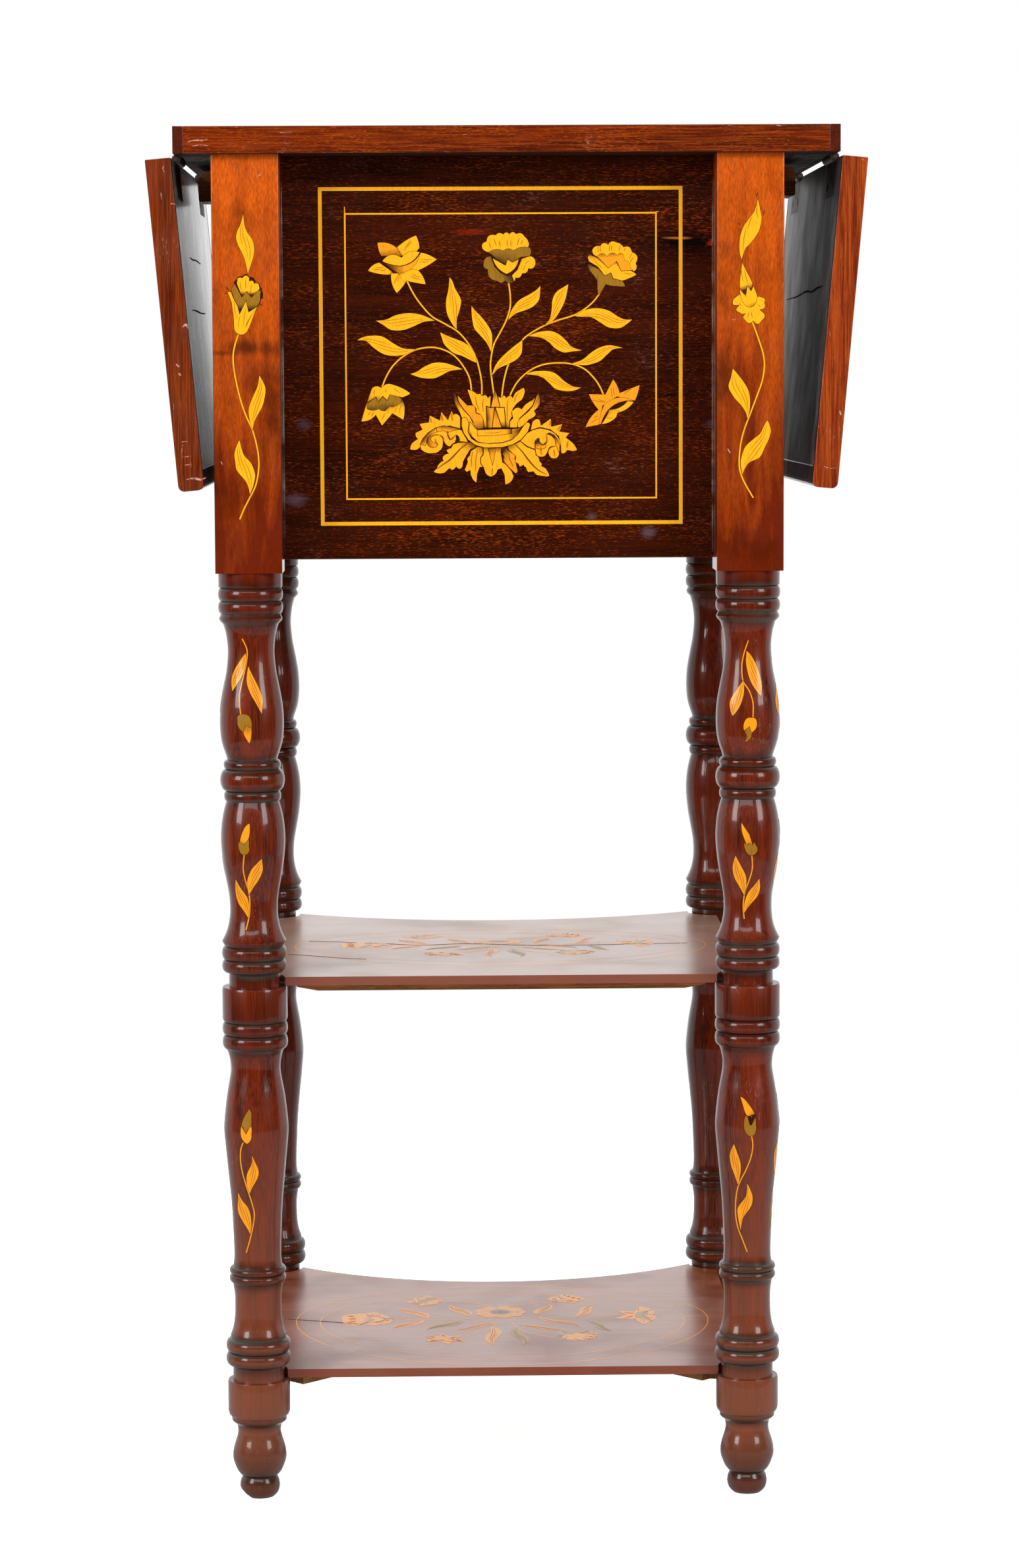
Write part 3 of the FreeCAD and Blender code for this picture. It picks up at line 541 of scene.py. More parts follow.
def between(points, t):
    """A point of the smooth curve through four points, at the share t of the way between the middle two."""
    return tuple(
        0.5 * (2 * p1 + (p2 - p0) * t + (2 * p0 - 5 * p1 + 4 * p2 - p3) * t * t
               + (3 * p1 - p0 - 3 * p2 + p3) * t * t * t)
        for p0, p1, p2, p3 in zip(*points))


def sweep(outline, points):
    """A smooth line from the last point through these points."""
    chain = [outline[-1]] + points
    chain = [chain[0]] + chain + [chain[-1]]
    for four in zip(chain, chain[1:], chain[2:], chain[3:]):
        steps = max(2, round(abs(four[2][1] - four[1][1]) / 2.0))
        outline += [between(four, step / steps) for step in range(1, steps + 1)]


leg_outline = [(0, 0), (8.0, 0)]
sweep(leg_outline, [(10.4, 2.6), (11.3, 6.5), (10.8, 10.0)])
leg_outline.append((9.7, 12.0))
sweep(leg_outline, [(12.4, 15), (14.8, 21), (15.2, 25), (14.3, 30), (12.6, 35.5), (12.1, 39), (12.6, 42.4)])
leg_outline += [(15.4, 45.0), (15.6, 47.4)]
sweep(leg_outline, [(16.9, 48.6), (17.5, 51.0)])
leg_outline += [(17.5, 67.4), (17.1, 68.8), (14.5, 68.8), (14.5, 77.0), (15.6, 77.4)]
bead(leg_outline, 18.3, 85.3, 16.3)
bead(leg_outline, 18.2, 92.9, 16.0)
leg_outline += [(15.7, 93.1), (15.7, 95.0)]
sweep(leg_outline, [(14.3, 99), (13.4, 104.5), (13.1, 111), (13.2, 118.5), (14.2, 125.6)])
bead(leg_outline, 15.9, 130.6, 14.4)
bead(leg_outline, 15.9, 134.9, 14.0)
sweep(leg_outline, [(13.4, 138), (13.2, 144), (13.6, 156), (14.3, 171), (15.9, 189), (17.2, 203), (18.1, 214),
                    (17.7, 222), (16.3, 234), (14.8, 242.5), (13.9, 249), (14.3, 255), (15.4, 259.4)])
leg_outline.append((16.4, 261.2))
bead(leg_outline, 18.3, 269.1, 16.5)
bead(leg_outline, 18.3, 276.6, 16.8)
sweep(leg_outline, [(17.9, 277.6), (18.2, 279.4)])
leg_outline += [(18.2, 295.4), (17.8, 296.7), (14.3, 296.7), (14.3, 304.6), (15.4, 305.0)]
bead(leg_outline, 18.1, 312.4, 16.3)
bead(leg_outline, 18.1, 319.9, 16.3)
leg_outline += [(17.6, 322.2), (17.9, 323.2)]
sweep(leg_outline, [(16.5, 325.8), (14.7, 330.5), (13.5, 337), (13.3, 342), (13.6, 348), (14.5, 354), (15.6, 360),
                    (16.9, 368), (17.8, 377), (17.9, 384), (17.2, 392), (15.8, 399), (14.6, 403.0)])
bead(leg_outline, 15.9, 408.7, 14.6)
bead(leg_outline, 18.0, 421.2, 14.8)
bead(leg_outline, 16.0, 426.4, 13.9)
sweep(leg_outline, [(14.6, 429.2), (15.9, 433), (17.2, 438.5), (17.8, 447), (17.4, 456), (16.4, 463), (15.1, 470),
                    (13.8, 477), (12.95, 486), (13.1, 492), (14.1, 499), (15.4, 503.4)])
leg_outline += [(17.3, 505.4), (17.6, 506.6), (16.5, 509.2)]
bead(leg_outline, 18.0, 516.4, 16.4)
bead(leg_outline, 18.0, 523.6, 16.7)
leg_outline += [(17.7, 524.2), (17.8, 532.5)]
# The outline was read off for a turning 18.2 mm in radius, and the legs are a little thicker than that.
thicker = 18.5 / 18.2
leg_outline = [(radius * thicker, z) for radius, z in leg_outline]
leg_outline += [(28.5, 532.5), (28.5, 765.0), (0, 765.0)]
print("points in the leg's outline", len(leg_outline))


def turned_radius(z):
    """Radius of the turning at a height, in millimetres."""
    for (r0, z0), (r1, z1) in zip(leg_outline, leg_outline[1:]):
        if z0 <= z <= z1 and z1 > z0:
            return r0 + (r1 - r0) * (z - z0) / (z1 - z0)
    return 0


# %% Spin the leg and saw its top square
def spin_outline(name, outline, steps=56):
    """Draws the outline upwards in the plane y = 0 and spins it round the z axis."""
    bpy.ops.object.select_all(action="DESELECT")
    bpy.ops.mesh.primitive_plane_add(size=0.01, location=(0, 0, 0))
    turning = bpy.context.object
    turning.name = name
    bpy.ops.object.mode_set(mode="EDIT")
    bpy.ops.mesh.select_all(action="SELECT")
    bpy.ops.mesh.merge(type="CENTER")
    mesh = bmesh.from_edit_mesh(turning.data)
    mesh.verts.ensure_lookup_table()
    mesh.verts[0].co = (outline[0][0] * MM, 0, outline[0][1] * MM)
    bmesh.update_edit_mesh(turning.data)
    bpy.ops.mesh.select_all(action="SELECT")
    for (r0, z0), (r1, z1) in zip(outline, outline[1:]):
        bpy.ops.mesh.extrude_region_move(TRANSFORM_OT_translate={"value": ((r1 - r0) * MM, 0, (z1 - z0) * MM)})
    bpy.ops.mesh.select_all(action="SELECT")
    bpy.ops.mesh.spin(steps=steps, angle=math.tau, center=(0, 0, 0), axis=(0, 0, 1))
    bpy.ops.mesh.select_all(action="SELECT")
    bpy.ops.mesh.remove_doubles(threshold=0.00002)
    bpy.ops.mesh.normals_make_consistent(inside=False)
    bpy.ops.object.mode_set(mode="OBJECT")
    return turning


leg = spin_outline("turned_leg", leg_outline)
half_block = 18.75 * MM
bpy.ops.object.mode_set(mode="EDIT")
for direction in ((1, 0, 0), (-1, 0, 0), (0, 1, 0), (0, -1, 0)):
    bpy.ops.mesh.select_all(action="SELECT")
    bpy.ops.mesh.bisect(plane_co=Vector(direction) * half_block, plane_no=direction, use_fill=True, clear_outer=True)
bpy.ops.mesh.select_all(action="DESELECT")
mesh = bmesh.from_edit_mesh(leg.data)
hair = 1e-6
for edge in mesh.edges:
    if all(min(abs(abs(v.co.x) - half_block), abs(abs(v.co.y) - half_block)) < hair
           and abs(v.co.x) > half_block - hair and abs(v.co.y) > half_block - hair for v in edge.verts):
        edge.select = True
bmesh.update_edit_mesh(leg.data)
bpy.ops.mesh.bevel(offset=0.7 * MM, segments=3, affect="EDGES")
bpy.ops.object.mode_set(mode="OBJECT")

# Stain and dust gather where a bead meets its neighbour, so each point is told how near a groove it is.
groove_heights = [12.0, 44.0, 77.4, 85.3, 93.2, 125.8, 130.6, 134.9, 260.8, 269.1, 276.8, 305.0, 312.4, 319.9,
                  403.4, 408.7, 421.2, 426.4, 504.4, 508.9, 516.4, 523.8]
dust_reach = 4.5
dust = leg.data.attributes.new("near_groove", "FLOAT", "POINT")
for vertex, value in zip(leg.data.vertices, dust.data):
    near = min(abs(vertex.co.z / MM - height) for height in groove_heights)
    value.value = max(0, 1 - near / dust_reach)
print("faces on a leg", len(leg.data.polygons))

# %% [markdown]
# ### Finish of the legs
# The blocks have kept a warm orange-brown with upright streaks, where light and hands have bleached the
# stain. The turning is stained dark red and has thick glossy polish, and grey dust sits in the grooves.
# Near the floor the turning is browner and hazier, partly worn polish and partly a painted reflection of
# the floor; the legs behind the case and the sides where the turning curves away are painted darker as
# shade. One finish does it all, because the leg is one piece of wood: the height chooses the colour, and
# the dust follows the values that were stored on the leg.

# %% Mahogany of the legs
leg_wood, leg_shader, leg_skin = polished_wood(
    "french_polished_mahogany_leg", "z", "#360b02", "#6e2206", "#822c0a", roughness=0.28, polish=0.6,
    polish_roughness=0.08,
    sheen=0.15, stripe=9, pores=0.2, scuffs=0.35)
where = own_place(leg_wood)
height = add(leg_wood, "ShaderNodeSeparateXYZ", {"Vector": where}).outputs["Z"]
clouds = noise(leg_wood, where, 26, 3)
# Block: red-brown at its foot and orange near the top, where the polish has been bleached, in drifting streaks.
drift = noise(leg_wood, stretched(leg_wood, where, "z", 9, 60), 1, 5, 0.8)
bleached = maths(leg_wood, "MULTIPLY_ADD", drift, 0.30, height)
by_height = spread(leg_wood, bleached, 0.70, 0.92)
block_skin = ramp(leg_wood, by_height, (0.0, "#701e00"), (1.0, "#e0600a"))
# Fine upright fibres, a third of a millimetre wide, lighter and darker by turns.
fine = noise(leg_wood, stretched(leg_wood, where, "z", 0.34, 3.2), 1, 2)
contrast = spread(leg_wood, fine, 0.35, 0.65, 0.5)
fibred = mix(leg_wood, contrast, block_skin, "#4c1400")
smudges = spread(leg_wood, clouds, 0.53, 0.66, 0.6)
smudged = mix(leg_wood, smudges, fibred, "#3c1000")
# Dirty polish has run down over the left block in a dark smear beside the tulip.
block_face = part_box("leg_back_left")[0].y
smeared = smudged
for mark in (((372, 527), 17, 6, "#3c0e00", 0.75), ((338, 536), 12, 2.5, "#3c0e00", 0.6),
             ((410, 530), 12, 8, "#4c1400", 0.6)):
    smeared = oval_mark(leg_wood, where, smeared, drift, block_face, *mark)
is_block = spread(leg_wood, height, 0.521, 0.535)
upper_skin = mix(leg_wood, is_block, leg_skin, smeared)
# Low down the turning goes brown and hazy: partly worn polish, partly a painted reflection of the white floor.
low_down = spread(leg_wood, height, 0.235, 0.04, 0.6)
# The two legs under the marquetry, nearest the camera and the lamps, take all of it and the other two a fifth: painted
# light.
depth = add(leg_wood, "ShaderNodeSeparateXYZ", {"Vector": where}).outputs["Y"]
near_legs_painted_light = spread(leg_wood, depth, 0.05, -0.05, 1.0, 0.2)
near_low_haze_and_painted_reflection = maths(leg_wood, "MULTIPLY", low_down, near_legs_painted_light)
brown = mix(leg_wood, near_low_haze_and_painted_reflection, upper_skin, "#8c5238")
# The two legs on the drawer side, behind the case, are painted a little darker all the way up: painted shade.
far_legs_painted_shade = spread(leg_wood, depth, -0.05, 0.05, 0.22)
with_far_legs_painted_shade = mix(leg_wood, far_legs_painted_shade, brown, "#2c0a02")
# Towards the floor the lowest four centimetres grow darker.
darker_towards_floor = spread(leg_wood, height, 0.044, 0.014, 0.6)
footed = mix(leg_wood, darker_towards_floor, with_far_legs_painted_shade, "#2e1a12")
# The beads are darker than the smooth parts between them, and dust lies in the grooves.
near_groove = add(leg_wood, "ShaderNodeAttribute", attribute_name="near_groove")
beaded = spread(leg_wood, near_groove.outputs["Fac"], 0.0, 0.7, 0.62)
bead_stain = mix(leg_wood, beaded, footed, "#240802")
thick = maths(leg_wood, "MULTIPLY", near_groove.outputs["Fac"], clouds)
dusty = spread(leg_wood, thick, 0.32, 0.5, 0.85)
whole = mix(leg_wood, dusty, bead_stain, "#423a30")
# Where the turning curves away from the camera its colour is painted darker: painted shade along the silhouette.
turned_away = add(leg_wood, "ShaderNodeLayerWeight", {"Blend": 0.35})
darker = spread(leg_wood, turned_away.outputs["Facing"], 0.25, 0.85, 0.85)
with_painted_edge_shade = mix(leg_wood, darker, whole, "#260802")
block_or_turning = mix(leg_wood, is_block, with_painted_edge_shade, whole)
fill(leg_shader, {"Base Color": block_or_turning, "Coat IOR": 1.4})
leg.data.materials.clear()
leg.data.materials.append(leg_wood)

# %% Four legs from the one
leg_axes = {"back_left": (-145.5, -144.0), "back_right": (135.5, -144.0),
            "front_left": (-145.5, 129.0), "front_right": (135.5, 129.0)}
for corner, (x, y) in leg_axes.items():
    one = copy_of(leg, corner + "_turned_leg", Matrix.Translation((x * MM, y * MM, 0)))
    alone(one)
    if corner == "back_left":
        # The toe of this foot has split off along the grain.
        bpy.ops.object.mode_set(mode="EDIT")
        bpy.ops.mesh.select_all(action="SELECT")
        slope = math.radians(38)
        bpy.ops.mesh.bisect(plane_co=((x - 4.0) * MM, y * MM, 0), plane_no=(-math.sin(slope), 0, -math.cos(slope)),
                            use_fill=True, clear_outer=True)
        bpy.ops.object.mode_set(mode="OBJECT")
    bpy.ops.object.shade_smooth_by_angle(angle=math.radians(32))
    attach(one, "frame")
    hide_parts("leg_" + corner)
bpy.data.objects.remove(leg)
print("legs", len(leg_axes))

# %% [markdown]
# ## Marquetry
# Marquetry is a picture sawn out of thin sheets of different woods and glued level with the ground. The
# yellow is boxwood, the green-brown is a dyed wood, and the dark ends of the petals were scorched in hot
# sand. Each shape starts as a filled circle whose points are drawn to the sawn edge. A narrow inset makes
# the dark line of glue that shows in the saw cut, and a value stored at each point says how scorched it
# is. Every shape stands a tenth of a millimetre proud, so that no two faces lie in one plane.

# %% Sawn edges
def sawn_edge(corners):
    """Points along an edge. A third number after a corner bulges the line to the next corner outwards, as a
    share of its length."""
    steps = 7
    turns = sum(a[0] * b[1] - b[0] * a[1] for a, b in zip(corners, corners[1:] + corners[:1]))
    outwards = 1 if turns > 0 else -1
    points = []
    for here, there in zip(corners, corners[1:] + corners[:1]):
        bulge = here[2] if len(here) > 2 else 0
        du, dv = there[0] - here[0], there[1] - here[1]
        for step in range(steps if bulge else 1):
            t = step / steps
            lift = bulge * 4 * t * (1 - t) * outwards
            points.append((here[0] + du * t + dv * lift, here[1] + dv * t - du * lift))
    return points if turns > 0 else points[::-1]


def smooth_line(points, steps=5):
    """A smooth line through points."""
    chain = [points[0]] + list(points) + [points[-1]]
    line = [points[0]]
    for four in zip(chain, chain[1:], chain[2:], chain[3:]):
        line += [between(four, step / steps) for step in range(1, steps + 1)]
    return line


def strip(points, width, steps=5, taper=0.0):
    """The edge of a narrow strip along a smooth line, such as a stem or an engraved vein."""
    line = smooth_line(points, steps)
    one_side, other_side = [], []
    for number, (u, v) in enumerate(line):
        a, b = line[max(0, number - 1)], line[min(len(line) - 1, number + 1)]
        length = math.hypot(b[0] - a[0], b[1] - a[1]) or 1
        share = number / (len(line) - 1)
        half = width / 2 * (1 - taper + taper * math.sin(math.pi * share))
        nu, nv = -(b[1] - a[1]) / length * half, (b[0] - a[0]) / length * half
        one_side.append((u + nu, v + nv))
        other_side.append((u - nu, v - nv))
    return sawn_edge(one_side + other_side[::-1])


# %% Shapes of veneer
def upright_face(depth):
    """Lays a point (u, v) of a drawing on an upright face that looks away to the photographer."""
    return lambda u, v, height: (u * MM, depth - height * MM, v * MM)


def cut_shape(points, wood, lay, height, shade=None, line=0.16, bend=None):
    """One shape: a filled circle drawn to its edge, with a glue line, laid on its face. Sizes in millimetres."""
    bpy.ops.object.select_all(action="DESELECT")
    bpy.ops.mesh.primitive_circle_add(vertices=len(points), radius=1, fill_type="NGON")
    shape = bpy.context.object
    for vertex, (u, v) in zip(shape.data.vertices, points):
        vertex.co = (u, v, 0)
    shape.data.materials.append(wood)
    shape.data.materials.append(glue_line)
    if line or bend:
        bpy.ops.object.mode_set(mode="EDIT")
        bpy.ops.mesh.select_all(action="SELECT")
        if line:
            bpy.ops.mesh.inset(thickness=line, depth=0)
            drawing = bmesh.from_edit_mesh(shape.data)
            for face in drawing.faces:
                face.material_index = 0 if face.select else 1
        if bend:
            # A shape on a round leg is scored every few millimetres, so that it can follow the curve.
            for axis, gap in ((0, bend[0]), (1, bend[1])):
                low, high = min(p[axis] for p in points), max(p[axis] for p in points)
                for number in range(math.floor(low / gap) + 1, math.ceil(high / gap)):
                    bpy.ops.mesh.select_all(action="SELECT")
                    direction = (1, 0, 0) if axis == 0 else (0, 1, 0)
                    bpy.ops.mesh.bisect(plane_co=Vector(direction) * number * gap, plane_no=direction)
        bpy.ops.object.mode_set(mode="OBJECT")
    scorch = shape.data.attributes.new("scorch", "FLOAT", "POINT")
    for vertex, value in zip(shape.data.vertices, scorch.data):
        u, v = vertex.co.x, vertex.co.y
        if shade:
            dark, light = shade
            du, dv = light[0] - dark[0], light[1] - dark[1]
            value.value = ((u - dark[0]) * du + (v - dark[1]) * dv) / (du * du + dv * dv)
        else:
            value.value = 1.0
        vertex.co = lay(u, v, height)
    return shape


def glue_down(name, shapes, body, thickness=0.35):
    """Joins the shapes of one face, gives them their thickness and lets them ride on a body."""
    inlay = joined(shapes)
    inlay.name = name
    sheet = inlay.modifiers.new("sheet_thickness", "SOLIDIFY")
    sheet.thickness = thickness * MM
    sheet.offset = -1
    bpy.ops.object.modifier_apply(modifier=sheet.name)
    if body:
        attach(inlay, body)
    print(name, "shapes", len(shapes), "faces", len(inlay.data.polygons))
    return inlay


# %% [markdown]
# ### Woods of the marquetry
# Boxwood is a hard, very even yellow wood, and old polish has made it almost gold. The dyed wood was
# green and has faded to olive. Both show only faint fibres and small dark specks. Scorching fades from
# brown to the plain wood, and its border is uneven, so a little noise is added to the stored value.

# %% Boxwood, orange wood, dyed olive wood and the glue line
def inlay_wood(name, plain, fibre_tint, scorched, roughness=0.36, polish=0.3, polish_roughness=0.12, sheen=0.2):
    """A wood of the marquetry, scorched where the stored value is low."""
    finish, shader = new_finish(name)
    where = own_place(finish)
    fibres = noise(finish, stretched(finish, where, "z", 0.5, 7), 1, 3)
    specks = noise(finish, where, 900, 2)
    clouds = noise(finish, where, 130, 3)
    threads = spread(finish, fibres, 0.45, 0.75, 0.7)
    body = mix(finish, threads, plain, fibre_tint)
    dots = spread(finish, specks, 0.68, 0.78, 0.5)
    dotted = mix(finish, dots, body, scorched)
    stored = add(finish, "ShaderNodeAttribute", attribute_name="scorch")
    uneven = maths(finish, "MULTIPLY_ADD", clouds, 0.9, stored.outputs["Fac"])
    burnt = spread(finish, uneven, 0.48, 1.20, 0.0, 1.0)
    toned = mix(finish, burnt, dotted, scorched)
    fill(shader, {
        "Base Color": toned, "Roughness": roughness, "IOR": WOOD_IOR, "Specular IOR Level": sheen,
        "Coat Weight": polish, "Coat Roughness": polish_roughness})
    return finish


boxwood = inlay_wood("boxwood_inlay", "#fdb40e", "#ea940a", "#4e2202")
golden_wood = inlay_wood("golden_boxwood_inlay", "#f8ac14", "#de8a0c", "#4e2202")
deep_gold = inlay_wood("deep_golden_boxwood_inlay", "#ee9a12", "#d27c0c", "#4a2002")
orange_wood = inlay_wood("satinwood_inlay", "#f29c10", "#da800c", "#5a2402")
olive_wood = inlay_wood("dyed_olive_wood_inlay", "#9c6c0c", "#744e0a", "#1e1004", roughness=0.45)
glue_line = inlay_wood("hide_glue_line", "#3a1604", "#2a0e02", "#1c0802", roughness=0.6, sheen=0.05)
engraving = inlay_wood("engraved_line_pitch", "#a05208", "#7e3c06", "#5a2404", roughness=0.6, sheen=0.05)
woods = {"yellow": boxwood, "orange": orange_wood, "olive": olive_wood, "dark": glue_line, "gold": golden_wood,
         "deep": deep_gold}

# %% [markdown]
# ### From the picture to the wood
# The flowers were drawn over enlarged cuttings of the picture, as corners and bulges. A cutting is
# known by its left upper corner in the picture and its enlargement, so each corner can be carried along
# the camera's ray to the face that it lies on.

# %% Drawings over cuttings of the picture
def cutting(left, top, enlargement, depth):
    """Turns a corner of a drawing over a cutting into millimetres on the face at this depth."""
    def carry(corner):
        place = in_picture(left + corner[0] / enlargement, top + corner[1] / enlargement, depth)
        return (place.x / MM, place.z / MM) + tuple(corner[2:])
    return carry


petal_height, petal_step = 0.10, 0.015  # of the lowest petal, and from one to the next
stem_height, leaf_height, leaf_vein_height, leaf_step = 0.06, 0.09, 0.125, 0.002


def flower(carry, lay, petals, veins=(), level=0, bend=None, vein_width=0.3, line=0.16, dark_veins=False):
    """Cuts the petals from the lowest to the uppermost, then the engraved veins, each a chain of points."""
    vein_wood = glue_line if dark_veins else engraving
    shapes = []
    for number, (wood, corners, *shade) in enumerate(petals):
        marks = tuple(carry(mark) for mark in shade[0]) if shade else None
        shapes.append(cut_shape(sawn_edge([carry(c) for c in corners]), woods[wood], lay,
                                petal_height + level + petal_step * number, marks, line, bend))
    top_height = petal_height + level + petal_step * len(petals) + 0.01
    for vein in veins:
        marks = [carry(vein[n:n + 2]) for n in range(0, len(vein), 2)]
        if len(marks) == 2:
            (u0, v0), (u1, v1) = marks
            marks.insert(1, ((u0 + u1) / 2 + (v1 - v0) * 0.04, (v0 + v1) / 2 - (u1 - u0) * 0.04))
        shapes.append(cut_shape(strip(marks, vein_width, taper=0.8), vein_wood, lay, top_height, line=0, bend=bend))
    return shapes


def leaves_and_stems(carry, lay, leaves, stems, stem_width=1.05, bend=None, wood="yellow", vein_width=0.26, line=0.16):
    """A leaf is its base, its tip and the points of its two sides, each side from base to tip."""
    shapes = []
    for number, stem in enumerate(stems):
        shapes.append(cut_shape(strip([carry(p) for p in stem], stem_width), woods[wood], lay,
                                stem_height + leaf_step * number, line=line * 0.75, bend=bend))
    for number, (base, tip, one_side, other_side) in enumerate(leaves):
        first = smooth_line([carry(p) for p in [base] + one_side + [tip]])
        second = smooth_line([carry(p) for p in [base] + other_side + [tip]])
        shapes.append(cut_shape(sawn_edge(first[:-1] + second[:0:-1]), woods[wood], lay,
                                leaf_height + leaf_step * number,
                                line=line, bend=bend))
        middle = []
        for share in (0.14, 0.4, 0.66, 0.86):
            a, b = first[round(share * (len(first) - 1))], second[round(share * (len(second) - 1))]
            middle.append(((a[0] + b[0]) / 2, (a[1] + b[1]) / 2, (a[0] - b[0]) / 2, (a[1] - b[1]) / 2))
        for offset, start, stop in ((0.0, 0, 4), (0.42, 1, 4), (-0.42, 0, 3)):
            vein = [(m[0] + m[2] * offset, m[1] + m[3] * offset) for m in middle[start:stop]]
            shapes.append(cut_shape(strip(vein, vein_width, taper=0.8), engraving, lay,
                                    leaf_vein_height + leaf_step * number,
                                    line=0, bend=bend))
    return shapes


panel = upright_face(panel_face)
panel_shapes = []

# %% Lily, left above
lily = [
    ("orange", [(330, 340, .11), (685, 430), (780, 590), (400, 590, .06)], ((560, 640), (520, 430))),
    ("yellow", [(685, 430, .05), (1040, 205, .06), (1105, 440), (1050, 500), (780, 590)], ((760, 620), (860, 470))),
    ("yellow", [(155, 860, .12), (365, 703), (630, 890), (560, 930, .05)], ((640, 860), (500, 860))),
    ("yellow", [(580, 900, .10), (685, 1270, .03), (840, 1090), (900, 900)], ((760, 820), (740, 960))),
    ("yellow", [(1130, 520, .06), (1425, 650, .03), (1085, 850), (800, 900), (1000, 700)]),
    ("yellow", [(860, 1040, .02), (1220, 1108, .08), (1085, 850), (900, 800), (700, 900), (840, 1095)],
     ((800, 800), (900, 960))),
    ("orange", [(410, 670, .05), (730, 910, .17), (1125, 520, -.13), (745, 775, -.05)], ((600, 900), (900, 690))),
    ("yellow", [(415, 680, .23), (775, 612, .18), (1112, 515, .13), (745, 770, .05)]),
]
lily_veins = [
    (940, 290, 820, 500), (965, 320, 870, 440), (290, 795, 455, 790), (250, 840, 420, 815), (380, 860, 500, 825),
    (735, 910, 640, 1095), (725, 960, 710, 1060), (960, 920, 1140, 975), (930, 955, 1150, 1020),
    (1110, 650, 1345, 645), (1100, 695, 1270, 690)]
panel_shapes.append(("lily_inlay", flower(cutting(545, 340, 12.06, panel_face), panel, lily, lily_veins)))

# %% Carnation in the middle
middle_carnation = [
    ("yellow", [(370, 612, .1), (240, 540, .3), (325, 378, .3), (525, 238, .25), (690, 222, .3), (825, 215, .3),
                (970, 212, .25), (1155, 275, .1), (1245, 400, .1), (1235, 500), (900, 600)]),
    ("olive", [(430, 700, .25), (262, 850, .25), (355, 985, .25), (560, 1235, .25), (735, 1225, .25), (915, 1255),
               (880, 1110), (640, 1060), (500, 920)], ((800, 950), (480, 1150))),
    ("yellow", [(1090, 745), (1285, 690, .2), (1390, 870, .25), (1235, 965, .25), (1100, 1070, .25),
                (960, 1165, .05), (925, 1250), (875, 1110), (1000, 980)], ((950, 800), (1120, 960))),
    ("dark", [(450, 730, .12), (790, 1140, .12), (1092, 738)]),
    ("yellow", [(455, 730, .12), (760, 1085, .15), (1030, 750), (885, 830), (785, 755), (740, 895)],
     ((820, 620), (760, 920))),
    ("olive", [(370, 610, .15), (695, 575, .2), (910, 570, .12), (1270, 510, .1), (1290, 620, .1), (1260, 700),
               (1080, 715), (885, 830), (790, 750), (740, 885), (560, 770)], ((760, 900), (800, 560))),
]
middle_veins = [
    (385, 390, 425, 520), (500, 310, 545, 480), (600, 355, 635, 500), (770, 330, 790, 490), (855, 350, 865, 490),
    (1040, 300, 1000, 460), (1115, 340, 1075, 440), (1180, 880, 1120, 1000), (1260, 800, 1150, 860),
    (450, 900, 560, 1080), (600, 1100, 640, 1180)]
panel_shapes.append(("middle_carnation_inlay", flower(
    cutting(715, 340, 14.25, panel_face), panel, middle_carnation, middle_veins)))

# %% Carnation at the right
right_carnation = [
    ("yellow", [(370, 585, .2), (275, 430, .2), (455, 350, .3), (635, 315, .25), (825, 265, .12), (985, 370, .3),
                (1175, 480, .3), (1265, 745, .25), (1215, 930), (1000, 700), (600, 600)]),
    ("orange", [(380, 585, .3), (615, 585, .3), (845, 555, .3), (990, 545), (1015, 680), (1085, 680, .1),
                (1145, 850), (1200, 900), (930, 915), (830, 700), (640, 850)], ((700, 470), (720, 640))),
    ("yellow", [(170, 610, .2), (250, 555), (400, 620), (640, 850), (820, 695), (930, 915), (1150, 905, .05),
                (1285, 1000, .03), (960, 1140), (750, 1085), (700, 955), (560, 1025), (400, 820), (200, 700)],
     ((830, 660), (780, 860))),
    ("olive", [(160, 740), (420, 870), (560, 1025), (700, 955), (745, 1085), (960, 1140, .08), (1025, 1270, .03),
               (820, 1260, .05), (585, 1220), (470, 1420), (400, 1460), (385, 1120), (215, 900)],
     ((140, 700), (330, 900))),
]
right_veins = [
    (410, 360, 420, 480), (455, 360, 475, 490), (680, 310, 665, 470), (725, 330, 710, 460), (930, 295, 880, 480),
    (1025, 385, 1000, 480), (1190, 500, 1110, 660), (1215, 600, 1130, 730), (300, 640, 520, 860),
    (980, 960, 1200, 985)]
panel_shapes.append(("right_carnation_inlay", flower(
    cutting(880, 350, 14.93, panel_face), panel, right_carnation, right_veins)))

# %% Hanging tulip and star flower
hanging_tulip = [
    ("yellow", [(250, 660), (120, 1100, .12), (470, 945), (620, 1200), (870, 905), (1125, 1060, .05),
                (1160, 830, .1), (1090, 570), (600, 500)], ((640, 560), (620, 860))),
    ("olive", [(250, 680), (470, 510), (540, 650), (635, 495), (740, 600), (810, 455, .1), (1090, 560, .15),
               (920, 740, .1), (805, 740), (700, 850, .1), (545, 800, .12), (260, 800)], ((640, 900), (640, 560))),
    ("yellow", [(255, 655), (380, 300, .2), (610, 295, .2), (880, 215, .05), (1290, 415), (1280, 450), (1110, 525),
                (810, 455), (740, 590), (635, 490), (535, 630), (475, 510)], ((600, 720), (640, 440))),
]
hanging_veins = [
    (350, 860, 290, 950), (440, 860, 360, 990), (700, 890, 620, 1070), (790, 780, 740, 900), (980, 740, 925, 890),
    (1080, 700, 1020, 900), (450, 340, 430, 450), (700, 300, 720, 420), (900, 290, 1050, 420)]
panel_shapes.append(("hanging_tulip_inlay", flower(
    cutting(540, 570, 15.68, panel_face), panel, hanging_tulip, hanging_veins)))

